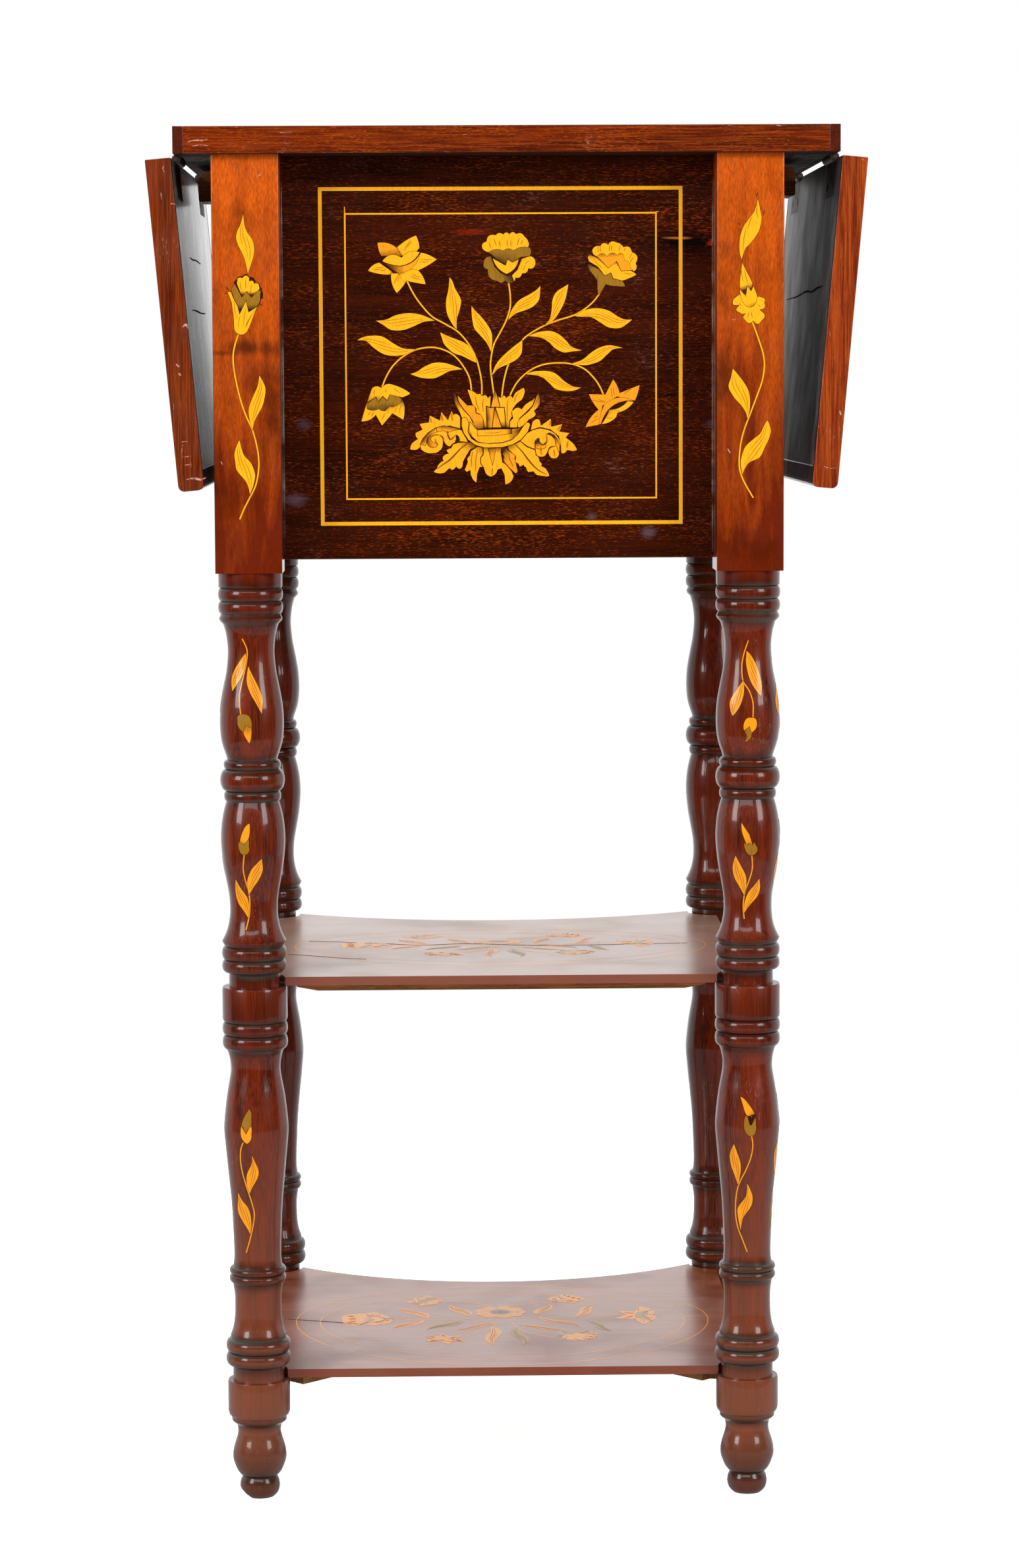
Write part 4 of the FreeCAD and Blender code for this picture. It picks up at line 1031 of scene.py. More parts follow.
star_flower = [
    ("orange", [(255, 540), (615, 550), (785, 215, .06), (930, 515), (1365, 340, .04), (1260, 690), (870, 600),
                (560, 800), (480, 1210), (185, 1265, .08), (465, 880, .05)]),
    ("yellow", [(525, 1200, -.05), (700, 880, -.12), (1100, 690), (1240, 710, .1), (885, 950), (855, 1045, .1)],
     ((640, 760), (840, 980))),
    ("deep", [(1250, 690, .17), (600, 760, .05), (475, 1200), (525, 1195, -.05), (680, 890, -.1), (1100, 690)]),
]
star_veins = [
    (325, 670, 610, 715), (470, 655, 620, 710), (745, 400, 775, 620), (790, 400, 820, 590), (460, 1020, 360, 1055),
    (470, 1070, 300, 1180), (800, 870, 950, 925), (620, 1055, 790, 1055), (1180, 430, 1010, 560)]
panel_shapes.append(("star_flower_inlay", flower(cutting(875, 560, 14.25, panel_face), panel, star_flower, star_veins)))

# %% Stems and leaves over the basket
branch_stems = [
    [(712, 680), (712, 600), (695, 510), (672, 440), (630, 370), (575, 310), (500, 265), (430, 225), (370, 160),
     (325, 95), (287, 20)],
    [(785, 690), (768, 570), (762, 500), (770, 430), (785, 375), (820, 310), (850, 250), (872, 180), (874, 110),
     (864, 30)],
    [(825, 690), (838, 590), (862, 500), (900, 420), (944, 358), (990, 320), (1065, 278), (1140, 248), (1235, 218),
     (1300, 180), (1350, 135), (1390, 80)],
    [(655, 660), (645, 580), (610, 510), (560, 450), (500, 415), (430, 400), (345, 412), (270, 450), (210, 505),
     (170, 570), (145, 635)],
    [(865, 690), (905, 610), (960, 550), (1030, 508), (1110, 490), (1210, 492), (1290, 520), (1345, 570),
     (1380, 620), (1402, 670)],
]
branch_leaves = [
    ((452, 250), (108, 248), [(375, 216), (300, 205), (225, 217), (170, 242)],
     [(385, 257), (330, 281), (270, 303), (200, 303), (150, 272)]),
    ((345, 410), (2, 362), [(270, 405), (215, 378), (150, 338), (85, 333), (35, 343)],
     [(310, 428), (265, 445), (205, 450), (150, 437), (95, 400), (55, 365)]),
    ((610, 525), (303, 551), [(560, 505), (500, 487), (440, 487), (385, 510), (345, 537)],
     [(535, 535), (485, 560), (440, 577), (370, 574)]),
    ((572, 303), (529, -2), [(545, 270), (515, 210), (509, 140), (522, 75), (526, 35)],
     [(573, 240), (588, 190), (596, 130), (562, 65), (548, 25)]),
    ((765, 430), (653, 160), [(773, 380), (770, 320), (745, 270), (710, 225), (675, 190)],
     [(752, 400), (735, 370), (700, 330), (668, 290), (655, 220)]),
    ((683, 490), (474, 312), [(678, 440), (650, 400), (610, 370), (560, 350), (510, 330)],
     [(650, 475), (600, 450), (550, 432), (500, 385), (485, 345)]),
    ((768, 565), (944, 355), [(785, 510), (820, 460), (880, 405), (925, 370)],
     [(785, 545), (810, 520), (860, 497), (910, 470), (940, 430)]),
    ((857, 252), (1046, 47), [(880, 190), (920, 135), (980, 100), (1020, 75)],
     [(880, 230), (910, 208), (970, 187), (1010, 165), (1040, 125)]),
    ((1065, 278), (1205, 40), [(1095, 240), (1107, 190), (1112, 130), (1135, 85), (1175, 58)],
     [(1095, 265), (1130, 235), (1165, 180), (1190, 120)]),
    ((1235, 225), (1568, 241), [(1290, 190), (1360, 177), (1430, 190), (1480, 222), (1520, 240)],
     [(1280, 228), (1330, 230), (1380, 258), (1430, 288), (1495, 292), (1540, 265)]),
    ((970, 338), (1288, 418), [(1030, 313), (1100, 306), (1150, 325), (1190, 360), (1225, 397)],
     [(1040, 345), (1090, 370), (1125, 405), (1175, 430), (1225, 425)]),
    ((1215, 492), (1522, 404), [(1280, 470), (1330, 430), (1380, 400), (1440, 387)],
     [(1260, 500), (1310, 502), (1380, 480), (1420, 445), (1460, 412)]),
    ((955, 553), (1280, 627), [(1010, 535), (1090, 534), (1135, 550), (1180, 590), (1230, 620)],
     [(1040, 565), (1090, 600), (1130, 637), (1190, 650), (1240, 645)]),
]
panel_shapes.append(("branches_inlay", leaves_and_stems(
    cutting(540, 420, 3.733, panel_face), panel, branch_leaves, branch_stems)))

# %% Basket with curled acanthus leaves
basket = [
    # Toothed edges behind the two curls.
    ("gold", [(497, 398), (497, 300, .12), (455, 265, .1), (440, 275), (420, 238, .02), (390, 318), (332, 245, .02),
                (320, 322), (235, 280, .03), (225, 340), (145, 352, .03), (170, 402), (112, 430, .15), (130, 482),
                (90, 510, .12), (68, 575, .06), (120, 578, .1), (160, 545), (250, 430), (400, 372)]),
    ("gold", [(1088, 412), (1105, 340, .1), (1140, 312, .2), (1175, 330), (1182, 365), (1265, 305, .03), (1270, 375),
                (1365, 352, .03), (1340, 418), (1428, 430), (1395, 470), (1440, 505, .08), (1490, 578, .05),
                (1450, 590), (1405, 580), (1385, 605, .1), (1350, 605), (1346, 540), (1330, 460), (1260, 405),
                (1170, 385)]),
    # Curls, with a brown hollow under the rim of each.
    ("gold", [(505, 405), (430, 380), (350, 368), (285, 385), (220, 428), (175, 478), (150, 530), (158, 572, .05),
                (200, 600, .08), (265, 606, .12), (320, 585, .12), (348, 540), (350, 500), (370, 530, .1), (410, 550),
                (430, 525), (480, 505), (565, 512)]),
    ("deep", [(290, 386), (222, 430), (176, 480), (152, 530), (200, 545), (214, 484), (250, 442), (300, 425)],
     ((196, 462), (238, 499))),
    ("deep", [(288, 386), (350, 369), (430, 380), (500, 402), (420, 418), (386, 432), (350, 414), (298, 425)],
     ((380, 374), (374, 430))),
    ("deep", [(320, 450), (285, 440), (240, 452), (212, 487), (208, 522), (228, 550), (264, 562), (294, 552),
                (305, 530), (298, 512), (270, 514), (250, 500), (245, 478), (262, 460), (292, 454)],
     ((202, 500), (300, 520))),
    ("dark", [(455, 447, .2), (488, 478, .2), (484, 505), (446, 514), (458, 484)]),
    ("gold", [(1000, 502), (1060, 432), (1110, 405), (1170, 390), (1240, 403, .05), (1305, 440, .05),
                (1342, 500, .03), (1345, 560, .05), (1332, 625, .2), (1290, 650, .2), (1250, 625, .1), (1240, 590),
                (1220, 625, .1), (1180, 637, .1), (1140, 620), (1130, 572), (1060, 548)]),
    ("deep", [(1222, 442), (1250, 428), (1292, 446), (1326, 490), (1342, 545), (1336, 612), (1316, 560), (1302, 540),
                (1296, 490), (1268, 456)], ((1275, 455), (1300, 560))),
    ("deep", [(1134, 562), (1130, 505), (1160, 480), (1168, 512), (1196, 530), (1226, 505), (1222, 560), (1180, 575)],
     ((1165, 505), (1180, 560))),
    # Leaves that hang below the bowl.
    ("gold", [(585, 508), (480, 512), (430, 528), (415, 560, .1), (376, 578, .1), (392, 605, .1), (345, 632, .15),
                (350, 668, .1), (318, 688, .1), (295, 730), (263, 762, .05), (300, 777, .08), (365, 770),
                (402, 735, .12),
                (435, 748), (462, 722, .15), (490, 740, .1), (515, 720), (522, 675), (548, 625), (580, 575),
                (650, 545)],
     ((606, 512), (500, 600))),
    ("gold", [(955, 525), (1005, 500), (1060, 548), (1130, 575), (1140, 620, .1), (1165, 648, .1), (1168, 668),
                (1190, 692, .1), (1186, 712), (1220, 730, .05), (1255, 795, .1), (1225, 805), (1150, 795, .05),
                (1115, 762), (1072, 768, .1), (1052, 728, .1), (1030, 706), (1000, 725), (985, 695), (958, 680),
                (966, 636), (935, 602), (905, 578), (893, 545)], ((890, 512), (990, 600))),
    ("gold", [(640, 545), (686, 555), (690, 612), (667, 642), (667, 690), (690, 724), (662, 724), (640, 782),
                (635, 860, .03), (600, 830), (580, 788), (578, 752), (550, 766, .1), (530, 742), (555, 682), (550, 650),
                (574, 620), (582, 585)], ((700, 545), (625, 650))),
    ("deep", [(843, 556), (852, 610), (860, 640), (856, 668), (900, 720), (965, 780, .1), (985, 755), (960, 652),
                (966, 622), (935, 600), (900, 576), (893, 546)], ((845, 610), (940, 680))),
    ("gold", [(690, 556), (845, 556), (842, 600), (855, 680), (880, 694), (930, 752), (950, 795, .1), (922, 852, .06),
                (875, 874), (868, 790), (842, 736), (815, 745), (800, 778, .1), (750, 806, .1), (706, 772), (690, 724),
                (667, 690), (667, 642), (690, 615)], ((770, 535), (770, 640))),
    ("deep", [(727, 562), (800, 562), (770, 716)], ((735, 550), (800, 660))),
    # Leaves that stand in the bowl.
    ("gold", [(427, 92, .05), (455, 90), (478, 165), (520, 232), (575, 290), (605, 350), (640, 402), (600, 480),
                (560, 420), (560, 340), (505, 305), (490, 262), (450, 190)], ((445, 130), (540, 160))),
    ("deep", [(465, 102), (555, 195), (600, 195, .2), (625, 225), (628, 262), (670, 275, .1), (692, 312), (697, 395),
                (640, 402), (612, 378), (598, 330), (570, 285), (520, 230), (480, 168)], ((672, 410), (612, 300))),
    ("gold", [(550, 58), (600, 72), (640, 100), (665, 95), (680, 116), (705, 105, .1), (730, 130), (755, 110),
                (752, 216), (715, 205), (722, 390), (698, 390), (690, 320), (665, 275), (628, 262), (628, 225),
                (596, 190), (575, 130)], ((722, 405), (690, 290))),
    ("gold", [(812, 118), (840, 130), (862, 110, .15), (885, 130), (910, 112, .15), (940, 130), (955, 95, .05),
                (1000, 62, .05), (1035, 45, .1), (1045, 85, .05), (1020, 150), (975, 185), (945, 225), (932, 262),
                (936, 292), (915, 328), (912, 388), (885, 388), (868, 214), (832, 216)], ((880, 405), (905, 290))),
    ("deep", [(753, 218), (772, 120), (790, 62), (812, 118), (833, 216), (790, 212)], ((790, 50), (790, 185))),
    ("deep", [(715, 204), (753, 218), (786, 212), (765, 390), (722, 390)], ((716, 300), (772, 296))),
    ("deep", [(784, 214), (790, 214), (848, 388), (765, 388)], ((788, 212), (806, 350))),
    ("gold", [(790, 212), (833, 216), (868, 214), (884, 388), (848, 388)], ((850, 392), (826, 280))),
    ("gold", [(912, 388), (916, 330), (940, 306), (932, 270, .2), (945, 235, .25), (1015, 228), (1035, 200, .05),
                (1100, 155), (1140, 118), (1110, 200), (1060, 252), (1000, 308), (976, 388)],
                ((1152, 108), (1070, 200))),
    ("gold", [(1155, 88, .05), (1175, 140), (1172, 188, .05), (1124, 245), (1140, 270, .1), (1110, 305), (1078, 322),
                (1055, 348), (1010, 388), (980, 385), (980, 345, .05), (1010, 300), (1070, 250), (1112, 200),
                (1140, 120)], ((1185, 150), (1100, 190))),
    # Bowl: its body, its rim and the band below.
    ("gold", [(575, 330), (612, 375), (640, 404), (935, 397), (990, 388), (1022, 372), (990, 440), (930, 490),
                (850, 515), (720, 524), (640, 508), (590, 460), (565, 400)], ((1005, 440), (890, 410))),
    ("gold", [(636, 404), (800, 399), (935, 396), (936, 440), (800, 455), (640, 460)],
     ((944, 420), (860, 424))),
    ("gold", [(505, 308, .3), (558, 318), (568, 360), (560, 420), (590, 478), (640, 510), (740, 522), (850, 515),
                (930, 490), (985, 440), (1030, 370), (1055, 342, .3), (1090, 366), (1072, 420), (1010, 492),
                (940, 532), (850, 556), (700, 559), (620, 536), (560, 490), (520, 430), (503, 370)]),
]
basket_lines = [
    (565, 512, 500, 562, 450, 615, 400, 665, 340, 705, 295, 738),
    (960, 528, 1020, 590, 1080, 670, 1150, 742, 1228, 785),
    (385, 414, 390, 452, 412, 487, 452, 452),
    (1132, 572, 1130, 505, 1160, 478, 1166, 510, 1200, 531, 1230, 502, 1224, 446),
    (1240, 592, 1256, 556, 1300, 543), (350, 500, 345, 470, 320, 450), (1005, 500, 1060, 545, 1128, 572),
    (850, 640, 862, 625, 860, 672, 885, 700, 930, 752)]
basket_veins = [
    (600, 585, 590, 720), (640, 580, 625, 760), (770, 730, 765, 790), (900, 600, 945, 720), (240, 300, 250, 345),
    (335, 270, 345, 330), (420, 260, 430, 330), (1262, 330, 1256, 372), (1350, 370, 1320, 410), (1410, 500, 1400, 560),
    (450, 110, 500, 220), (620, 120, 655, 240), (690, 140, 690, 250), (900, 150, 898, 330), (985, 95, 950, 170),
    (1160, 120, 1120, 230), (700, 430, 860, 420), (1180, 550, 1185, 620), (1290, 570, 1300, 630), (280, 480, 300, 540)]
panel_shapes.append(("basket_inlay", flower(
    cutting(610, 580, 5.6, panel_face), panel, basket, basket_lines, vein_width=0.55, line=0.26, dark_veins=True)
    + flower(cutting(610, 580, 5.6, panel_face), panel, [], basket_veins, level=0.42, vein_width=0.3)))
for name, shapes in panel_shapes:
    glue_down(name, shapes, "frame")

# %% [markdown]
# ### Tulips on the leg blocks
# Each block carries one tall tulip on a curved stem. The left one looks up and the right one is blown
# sideways. They are drawn and cut as the flowers of the panel, on the face of the block, which is 30 mm
# nearer to the camera.

# %% Left and right tulip
block = upright_face(block_face)
tulip_place = cutting(330, 300, 6.03, block_face)
left_block_shapes = flower(tulip_place, block, [
    ("dark", [(150, 770, .1), (176, 755, .3), (225, 722, .35), (292, 725, .3), (342, 778, .3), (392, 815, .2),
              (404, 850, .2), (398, 930, .1), (366, 998), (300, 1000), (160, 900)]),
    ("yellow", [(180, 800, .1), (178, 764, .35), (226, 733), (228, 733, .35), (291, 731), (293, 764, .35), (336, 783),
                (337, 784, .35), (383, 815, .2), (375, 850), (353, 868), (311, 918), (267, 860), (223, 914),
                (200, 850)],
     ((268, 892), (268, 838))),
    ("olive", [(157, 784), (126, 830, .1), (130, 858), (151, 928), (185, 991), (202, 1064), (261, 944), (286, 1050),
               (366, 994), (387, 957, .1), (392, 915), (398, 848, .1), (353, 862), (311, 913), (265, 856), (223, 910),
               (185, 835)], ((262, 1024), (262, 962))),
    ("yellow", [(88, 860), (121, 860), (151, 928), (185, 991), (202, 1062), (261, 938), (286, 1046), (366, 993),
                (307, 1151), (282, 1210, .1), (248, 1248, .1), (214, 1256, .1), (172, 1239, .1), (151, 1193),
                (143, 1075), (126, 957)]),
], [(206, 770, 216, 850), (258, 745, 260, 835), (315, 790, 305, 870), (150, 930, 180, 1120), (205, 1090, 190, 1200),
    (260, 1010, 240, 1180), (340, 1030, 260, 1190), (310, 1080, 250, 1200)], line=0.2)
left_block_shapes += flower(tulip_place, block, [], [
    (62, 880, 100, 868, 128, 852), (70, 812, 92, 836, 110, 852), (395, 925, 425, 912), (385, 968, 415, 990),
    (340, 770, 352, 758), (160, 775, 168, 745), (240, 722, 262, 712, 290, 720)], vein_width=0.4, dark_veins=True)
left_block_shapes += leaves_and_stems(cutting(330, 540, 6.033, block_face), block, [
    ((322, 690), (380, 172), [(290, 580), (285, 480), (320, 380), (360, 290), (375, 220)],
     [(335, 620), (360, 560), (410, 470), (430, 400), (442, 310), (420, 240)]),
    ((293, 1280), (202, 765), [(285, 1220), (255, 1150), (175, 1050), (160, 970), (153, 895), (175, 820)],
     [(320, 1220), (340, 1150), (345, 1080), (310, 985), (245, 910), (220, 840)]),
], [[(190, -195), (160, -100), (143, 0), (150, 120), (175, 260), (215, 420), (265, 560), (320, 680), (360, 830),
     (378, 960), (372, 1080), (345, 1200), (295, 1300), (240, 1410), (203, 1500)]])
left_block_shapes += leaves_and_stems(cutting(330, 300, 6.03, block_face), block, [
    ((277, 706), (235, 127), [(250, 580), (217, 497), (181, 422), (168, 362), (180, 300), (210, 238)],
     [(315, 592), (335, 515), (337, 452), (318, 380), (273, 315), (247, 238)]),
], [])
glue_down("left_tulip_inlay", left_block_shapes, "frame")

right_block_shapes = flower(cutting(1095, 290, 5.81, block_face), block, [
    ("yellow", [(320, 54), (355, 228, .04), (327, 361, .04), (215, 501, -.03), (180, 600), (177, 618), (157, 556, .04),
                (159, 403, .04), (201, 291), (285, 179), (306, 110)]),
    ("yellow", [(178, 619), (229, 724, .03), (272, 815), (262, 880), (222, 840), (211, 925), (157, 856, .03),
                (166, 724)], ((230, 868), (214, 800))),
    ("yellow", [(165, 900), (104, 948, .5), (150, 1006), (148, 1012, .45), (160, 1075, .2), (203, 1082),
                (205, 1085, .35), (206, 1140, .25), (271, 1158), (278, 1146, .4), (355, 1142, .35), (350, 1058),
                (340, 1046, .35), (378, 985, .35), (350, 935, .1), (312, 930)], ((240, 880), (240, 955))),
    ("yellow", [(157, 856), (211, 925), (224, 828), (257, 878), (281, 834), (312, 912, .06), (307, 976, .12),
                (258, 1026, .14), (201, 1000, .1), (166, 928, .04)], ((300, 1060), (270, 960))),
], [(310, 110, 318, 240), (270, 220, 230, 330), (215, 320, 190, 540), (170, 660, 190, 800), (200, 690, 235, 820),
    (150, 985, 175, 1010), (240, 1060, 232, 1130), (262, 1060, 272, 1120), (318, 1000, 345, 1020)], line=0.2)
right_block_shapes += flower(cutting(1095, 290, 5.81, block_face), block, [], [
    (308, 60, 300, 20), (322, 50, 312, 10), (360, 215, 378, 170), (160, 300, 146, 282),
    (168, 940, 210, 1010, 262, 1030, 300, 990)],
    vein_width=0.4, dark_veins=True)
right_block_shapes += leaves_and_stems(cutting(1095, 540, 6.033, block_face), block, [
    ((232, 590), (100, 112), [(222, 530), (180, 460), (110, 380), (60, 285), (82, 200)],
     [(255, 510), (262, 420), (250, 330), (210, 250), (150, 170)]),
    ((188, 1100), (417, 585), [(172, 1000), (180, 920), (215, 830), (290, 760), (350, 710), (385, 640)],
     [(215, 1030), (260, 975), (350, 930), (400, 830), (430, 770), (452, 690), (435, 620)]),
], [[(275, -325), (310, -230), (355, -100), (383, 0), (390, 100), (370, 230), (325, 360), (265, 520), (205, 680),
     (170, 830), (160, 1000), (185, 1110), (235, 1210), (290, 1302)]])
glue_down("right_tulip_inlay", right_block_shapes, "frame")

# %% [markdown]
# ### String lines
# Two thin lines of boxwood frame the basket. A string line is a square strip pressed into a groove that
# was cut with a gauge. A plane is added at the outer size, its face is inset by the width of the strip,
# and the inner face is deleted, which leaves the mitred frame.

# %% String lines round the basket
line_height = 0.07


def string_frame(centre, size, width, lay):
    """A mitred frame of boxwood line. Sizes in millimetres."""
    bpy.ops.object.select_all(action="DESELECT")
    bpy.ops.mesh.primitive_plane_add(size=1)
    frame_line = bpy.context.object
    for vertex in frame_line.data.vertices:
        vertex.co = (centre[0] + vertex.co.x * size[0], centre[1] + vertex.co.y * size[1], 0)
    frame_line.data.materials.append(boxwood)
    bpy.ops.object.mode_set(mode="EDIT")
    bpy.ops.mesh.select_all(action="SELECT")
    bpy.ops.mesh.inset(thickness=width, depth=0)
    bpy.ops.mesh.delete(type="FACE")
    bpy.ops.object.mode_set(mode="OBJECT")
    scorch = frame_line.data.attributes.new("scorch", "FLOAT", "POINT")
    for vertex, value in zip(frame_line.data.vertices, scorch.data):
        value.value = 1.0
        vertex.co = lay(vertex.co.x, vertex.co.y, line_height)
    return frame_line


centre_of_panel = (-3.2, 653.0)
# At two corners the knife ran past the mitre, and the thin line sticks out by a few millimetres.
outer_size, inner_size = (205, 190), (176, 161)
inner_left, inner_top = centre_of_panel[0] - inner_size[0] / 2, centre_of_panel[1] + inner_size[1] / 2
overruns = [
    strip([(inner_left + 0.45, inner_top - 1), (inner_left + 0.3, inner_top + 3.6)], 0.55, taper=0.3),
    strip([(inner_left + 177, inner_top + 0.2), (inner_left + 173, inner_top - 0.45)], 0.5, taper=0.3)]
glue_down("panel_string_lines", [
    string_frame(centre_of_panel, outer_size, 2.1, panel),
    string_frame(centre_of_panel, inner_size, 0.9, panel)]
    + [cut_shape(points, boxwood, panel, 0.075, line=0) for points in overruns], "frame")

# %% [markdown]
# ### Sprays on the turned legs
# The veneer of a spray on a round leg is steamed and pressed into the curve. Here a flat shape is scored
# into small squares, and then each point is wrapped round the leg: its distance from the middle line gives
# the turn, and the leg's own outline gives the radius at its height. One set of sprays is made for the
# left legs and one for the right, and each is turned to the other faces.

# %% Sprays of the left and the right legs
steepest = 0.999  # the sine of the widest turn that a spray may make


def round_the_leg(u, v, height):
    """Wraps a point of a drawing round the leg."""
    radius = turned_radius(v) + height
    turn_by = math.asin(max(-steepest, min(steepest, u / radius)))
    return (math.sin(turn_by) * radius * MM, -math.cos(turn_by) * radius * MM, v * MM)


spray_reach = 16  # from the leg's axis to the plane that its sprays were drawn on


def on_leg(left, top, enlargement, axis):
    """Turns a corner of a drawing into millimetres from the leg's axis and from the floor."""
    carry = cutting(left, top, enlargement, (axis[1] - spray_reach) * MM)
    return lambda corner: (carry(corner)[0] - axis[0],) + carry(corner)[1:]


score = (2.0, 2.5)
spray_parts = {
    "left": [
        ((350, 960, 3.27),
         [((75, 100), (5, 298), [(45, 140), (15, 190), (0, 240)], [(76, 150), (65, 200), (38, 250)]),
          ((85, 165), (155, 408), [(77, 240), (95, 300), (125, 352)], [(112, 220), (142, 280), (160, 335)]),
          ((88, 1310), (155, 1120), [(80, 1240), (100, 1180), (130, 1145)], [(112, 1270), (142, 1225), (160, 1180)]),
          ((88, 1425), (22, 1225), [(65, 1390), (33, 1345), (20, 1285)], [(92, 1370), (83, 1320), (50, 1272)])],
         [[(55, 32), (80, 90), (75, 160), (55, 250), (42, 320), (50, 408)],
          [(68, 1100), (62, 1170), (72, 1230), (92, 1310), (92, 1400), (75, 1480)]],
         [("orange", [(62, 497), (75, 455), (105, 470, .05), (95, 553, .05)], ((80, 440), (88, 520))),
          ("olive", [(50, 405, .25), (32, 435, .1), (45, 480), (62, 497), (75, 460), (105, 475, .05), (105, 440, .25)]),
          ("orange", [(95, 945, .1), (65, 975, .05), (45, 1040), (68, 1055), (90, 1025, .05)],
           ((66, 1080), (75, 1000))),
          ("olive", [(42, 1036, .1), (42, 1080, .25), (78, 1102, .2), (92, 1060, .05), (90, 1020), (68, 1052)])]),
        ((350, 1670, 6.533),
         [((187, 940), (212, 530), [(155, 830), (160, 730), (205, 630)],
           [(215, 870), (270, 770), (278, 690), (235, 590)]),
          ((190, 1350), (66, 918), [(170, 1300), (110, 1210), (64, 1120), (66, 1000)],
           [(205, 1270), (200, 1160), (170, 1070), (110, 1000)])],
         [[(125, 415), (98, 500), (98, 620), (120, 740), (165, 890), (205, 1010), (233, 1130), (222, 1240),
           (195, 1370), (150, 1530)]],
         [("olive", [(183, 78, .05), (210, 130), (208, 265), (180, 275), (150, 335), (120, 265), (103, 265, .05),
                     (140, 150)], ((150, 420), (160, 250))),
          ("orange", [(103, 255, .05), (100, 350, .12), (165, 432, .15), (210, 330, .05), (208, 250), (185, 265),
                      (152, 330), (118, 270)])]),
    ],
    "right": [
        ((1100, 960, 3.27),
         [((108, 90), (180, 320), [(105, 160), (125, 240), (155, 290)], [(132, 115), (162, 170), (184, 250)]),
          ((93, 235), (38, 418), [(60, 280), (25, 340), (27, 390)], [(95, 300), (72, 370)]),
          ((97, 1310), (52, 1105), [(75, 1270), (45, 1215), (38, 1160)], [(106, 1270), (105, 1210), (76, 1150)]),
          ((95, 1400), (172, 1220), [(98, 1340), (117, 1290), (150, 1250)], [(122, 1360), (165, 1310), (177, 1265)])],
         [[(118, 40), (95, 110), (85, 170), (90, 240), (120, 290), (138, 350), (137, 420)],
          [(132, 1105), (135, 1170), (120, 1230), (100, 1290), (92, 1360), (97, 1425)]],
         [("olive", [(120, 460), (95, 488), (108, 515), (95, 545, .1), (130, 520), (134, 488)]),
          ("orange", [(128, 420, .2), (95, 440, .1), (93, 488), (120, 465), (130, 500), (150, 480, .1),
                      (158, 445, .25)]),
          ("orange", [(80, 940, .05), (85, 1000), (105, 1055), (115, 1045), (137, 1055), (120, 1000)],
           ((110, 1090), (95, 990))),
          ("olive", [(92, 1040), (108, 1052), (118, 1042), (135, 1052), (142, 1035), (160, 1065, .15), (150, 1098, .2),
                     (112, 1100, .1)])]),
        ((1100, 1650, 6.03),
         [((122, 910), (82, 515), [(90, 820), (55, 720), (45, 620)], [(145, 780), (142, 690), (110, 590)]),
          ((148, 1335), (202, 875), [(120, 1200), (120, 1110), (190, 1000)],
           [(170, 1210), (245, 1090), (255, 1000), (225, 920)])],
         [[(240, 440), (252, 530), (235, 640), (190, 760), (130, 890), (105, 1010), (100, 1160), (120, 1290),
           (165, 1410), (207, 1520)]],
         [("orange", [(137, 85, .08), (190, 120, .03), (275, 245), (240, 270), (215, 265), (190, 250, .03), (165, 180)],
           ((250, 310), (190, 180))),
          ("dark", [(208, 262), (277, 238), (240, 342), (225, 342)]),
          ("olive", [(185, 250, .05), (168, 330, .12), (210, 440, .15), (268, 430, .1), (283, 340), (278, 262),
                     (240, 340), (225, 340), (205, 265)])]),
    ],
}
for side, cuttings in spray_parts.items():
    axis = leg_axes["back_" + side]
    spray_shapes = []
    for place, leaf_list, stem_list, bud_list in cuttings:
        carry = on_leg(*place, axis)
        spray_shapes += leaves_and_stems(carry, round_the_leg, leaf_list, stem_list, stem_width=0.9, bend=score,
                                         wood="orange", vein_width=0.24)
        spray_shapes += flower(carry, round_the_leg, bud_list, bend=score, level=0.04)
    spray = glue_down(side + "_spray", spray_shapes, None, thickness=0.25)
    # The outer sprays sit a little past the side, where the photograph shows no more than the edge of a leaf.
    outer = -106 if side == "left" else 99
    for corner, headings in (("back_" + side, (0, outer)), ("front_" + side, (180, outer))):
        for heading_angle in headings:
            x, y = leg_axes[corner]
            placing = (Matrix.Translation((x * MM, y * MM, 0))
                       @ Matrix.Rotation(math.radians(heading_angle), 4, "Z"))
            one = copy_of(spray, f"{corner}_{'outer' if heading_angle == outer else 'facing'}_sprays", placing)
            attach(one, "frame")
    bpy.data.objects.remove(spray)

# %% [markdown]
# ### Flowers of the shelves
# Both shelves carry a round rose with leaves about it, a carnation and a star at the ends, four small
# flowers and two string ovals. They are the flowers of the panel again, so their drawings are used once
# more, turned so that each stem points to the rose, in woods that have faded under dust and sun.

# %% Faded woods and the shelf drawing
woods["faded"] = inlay_wood("faded_boxwood_inlay", "#fca208", "#dc8804", "#6e3210", roughness=0.36, polish=0.6,
                            polish_roughness=0.24, sheen=0.4)
woods["faded_olive"] = inlay_wood("faded_olive_wood_inlay", "#a88418", "#866410", "#4a2c10", roughness=0.36, polish=0.6,
                                  polish_roughness=0.24, sheen=0.4)
woods["faded_dark"] = inlay_wood("faded_scorched_inlay", "#6e3418", "#52240e", "#341406", roughness=0.36, polish=0.65,
                                 polish_roughness=0.24, sheen=0.4)
faded = {"yellow": "faded", "orange": "faded", "olive": "faded_olive", "deep": "faded_olive", "dark": "faded_dark"}
shelf_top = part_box("lower_shelf")[1].z


def shelf_face(u, v, height):
    """Lays a point of a drawing on the lower shelf."""
    return (u * MM, v * MM, shelf_top + height * MM)


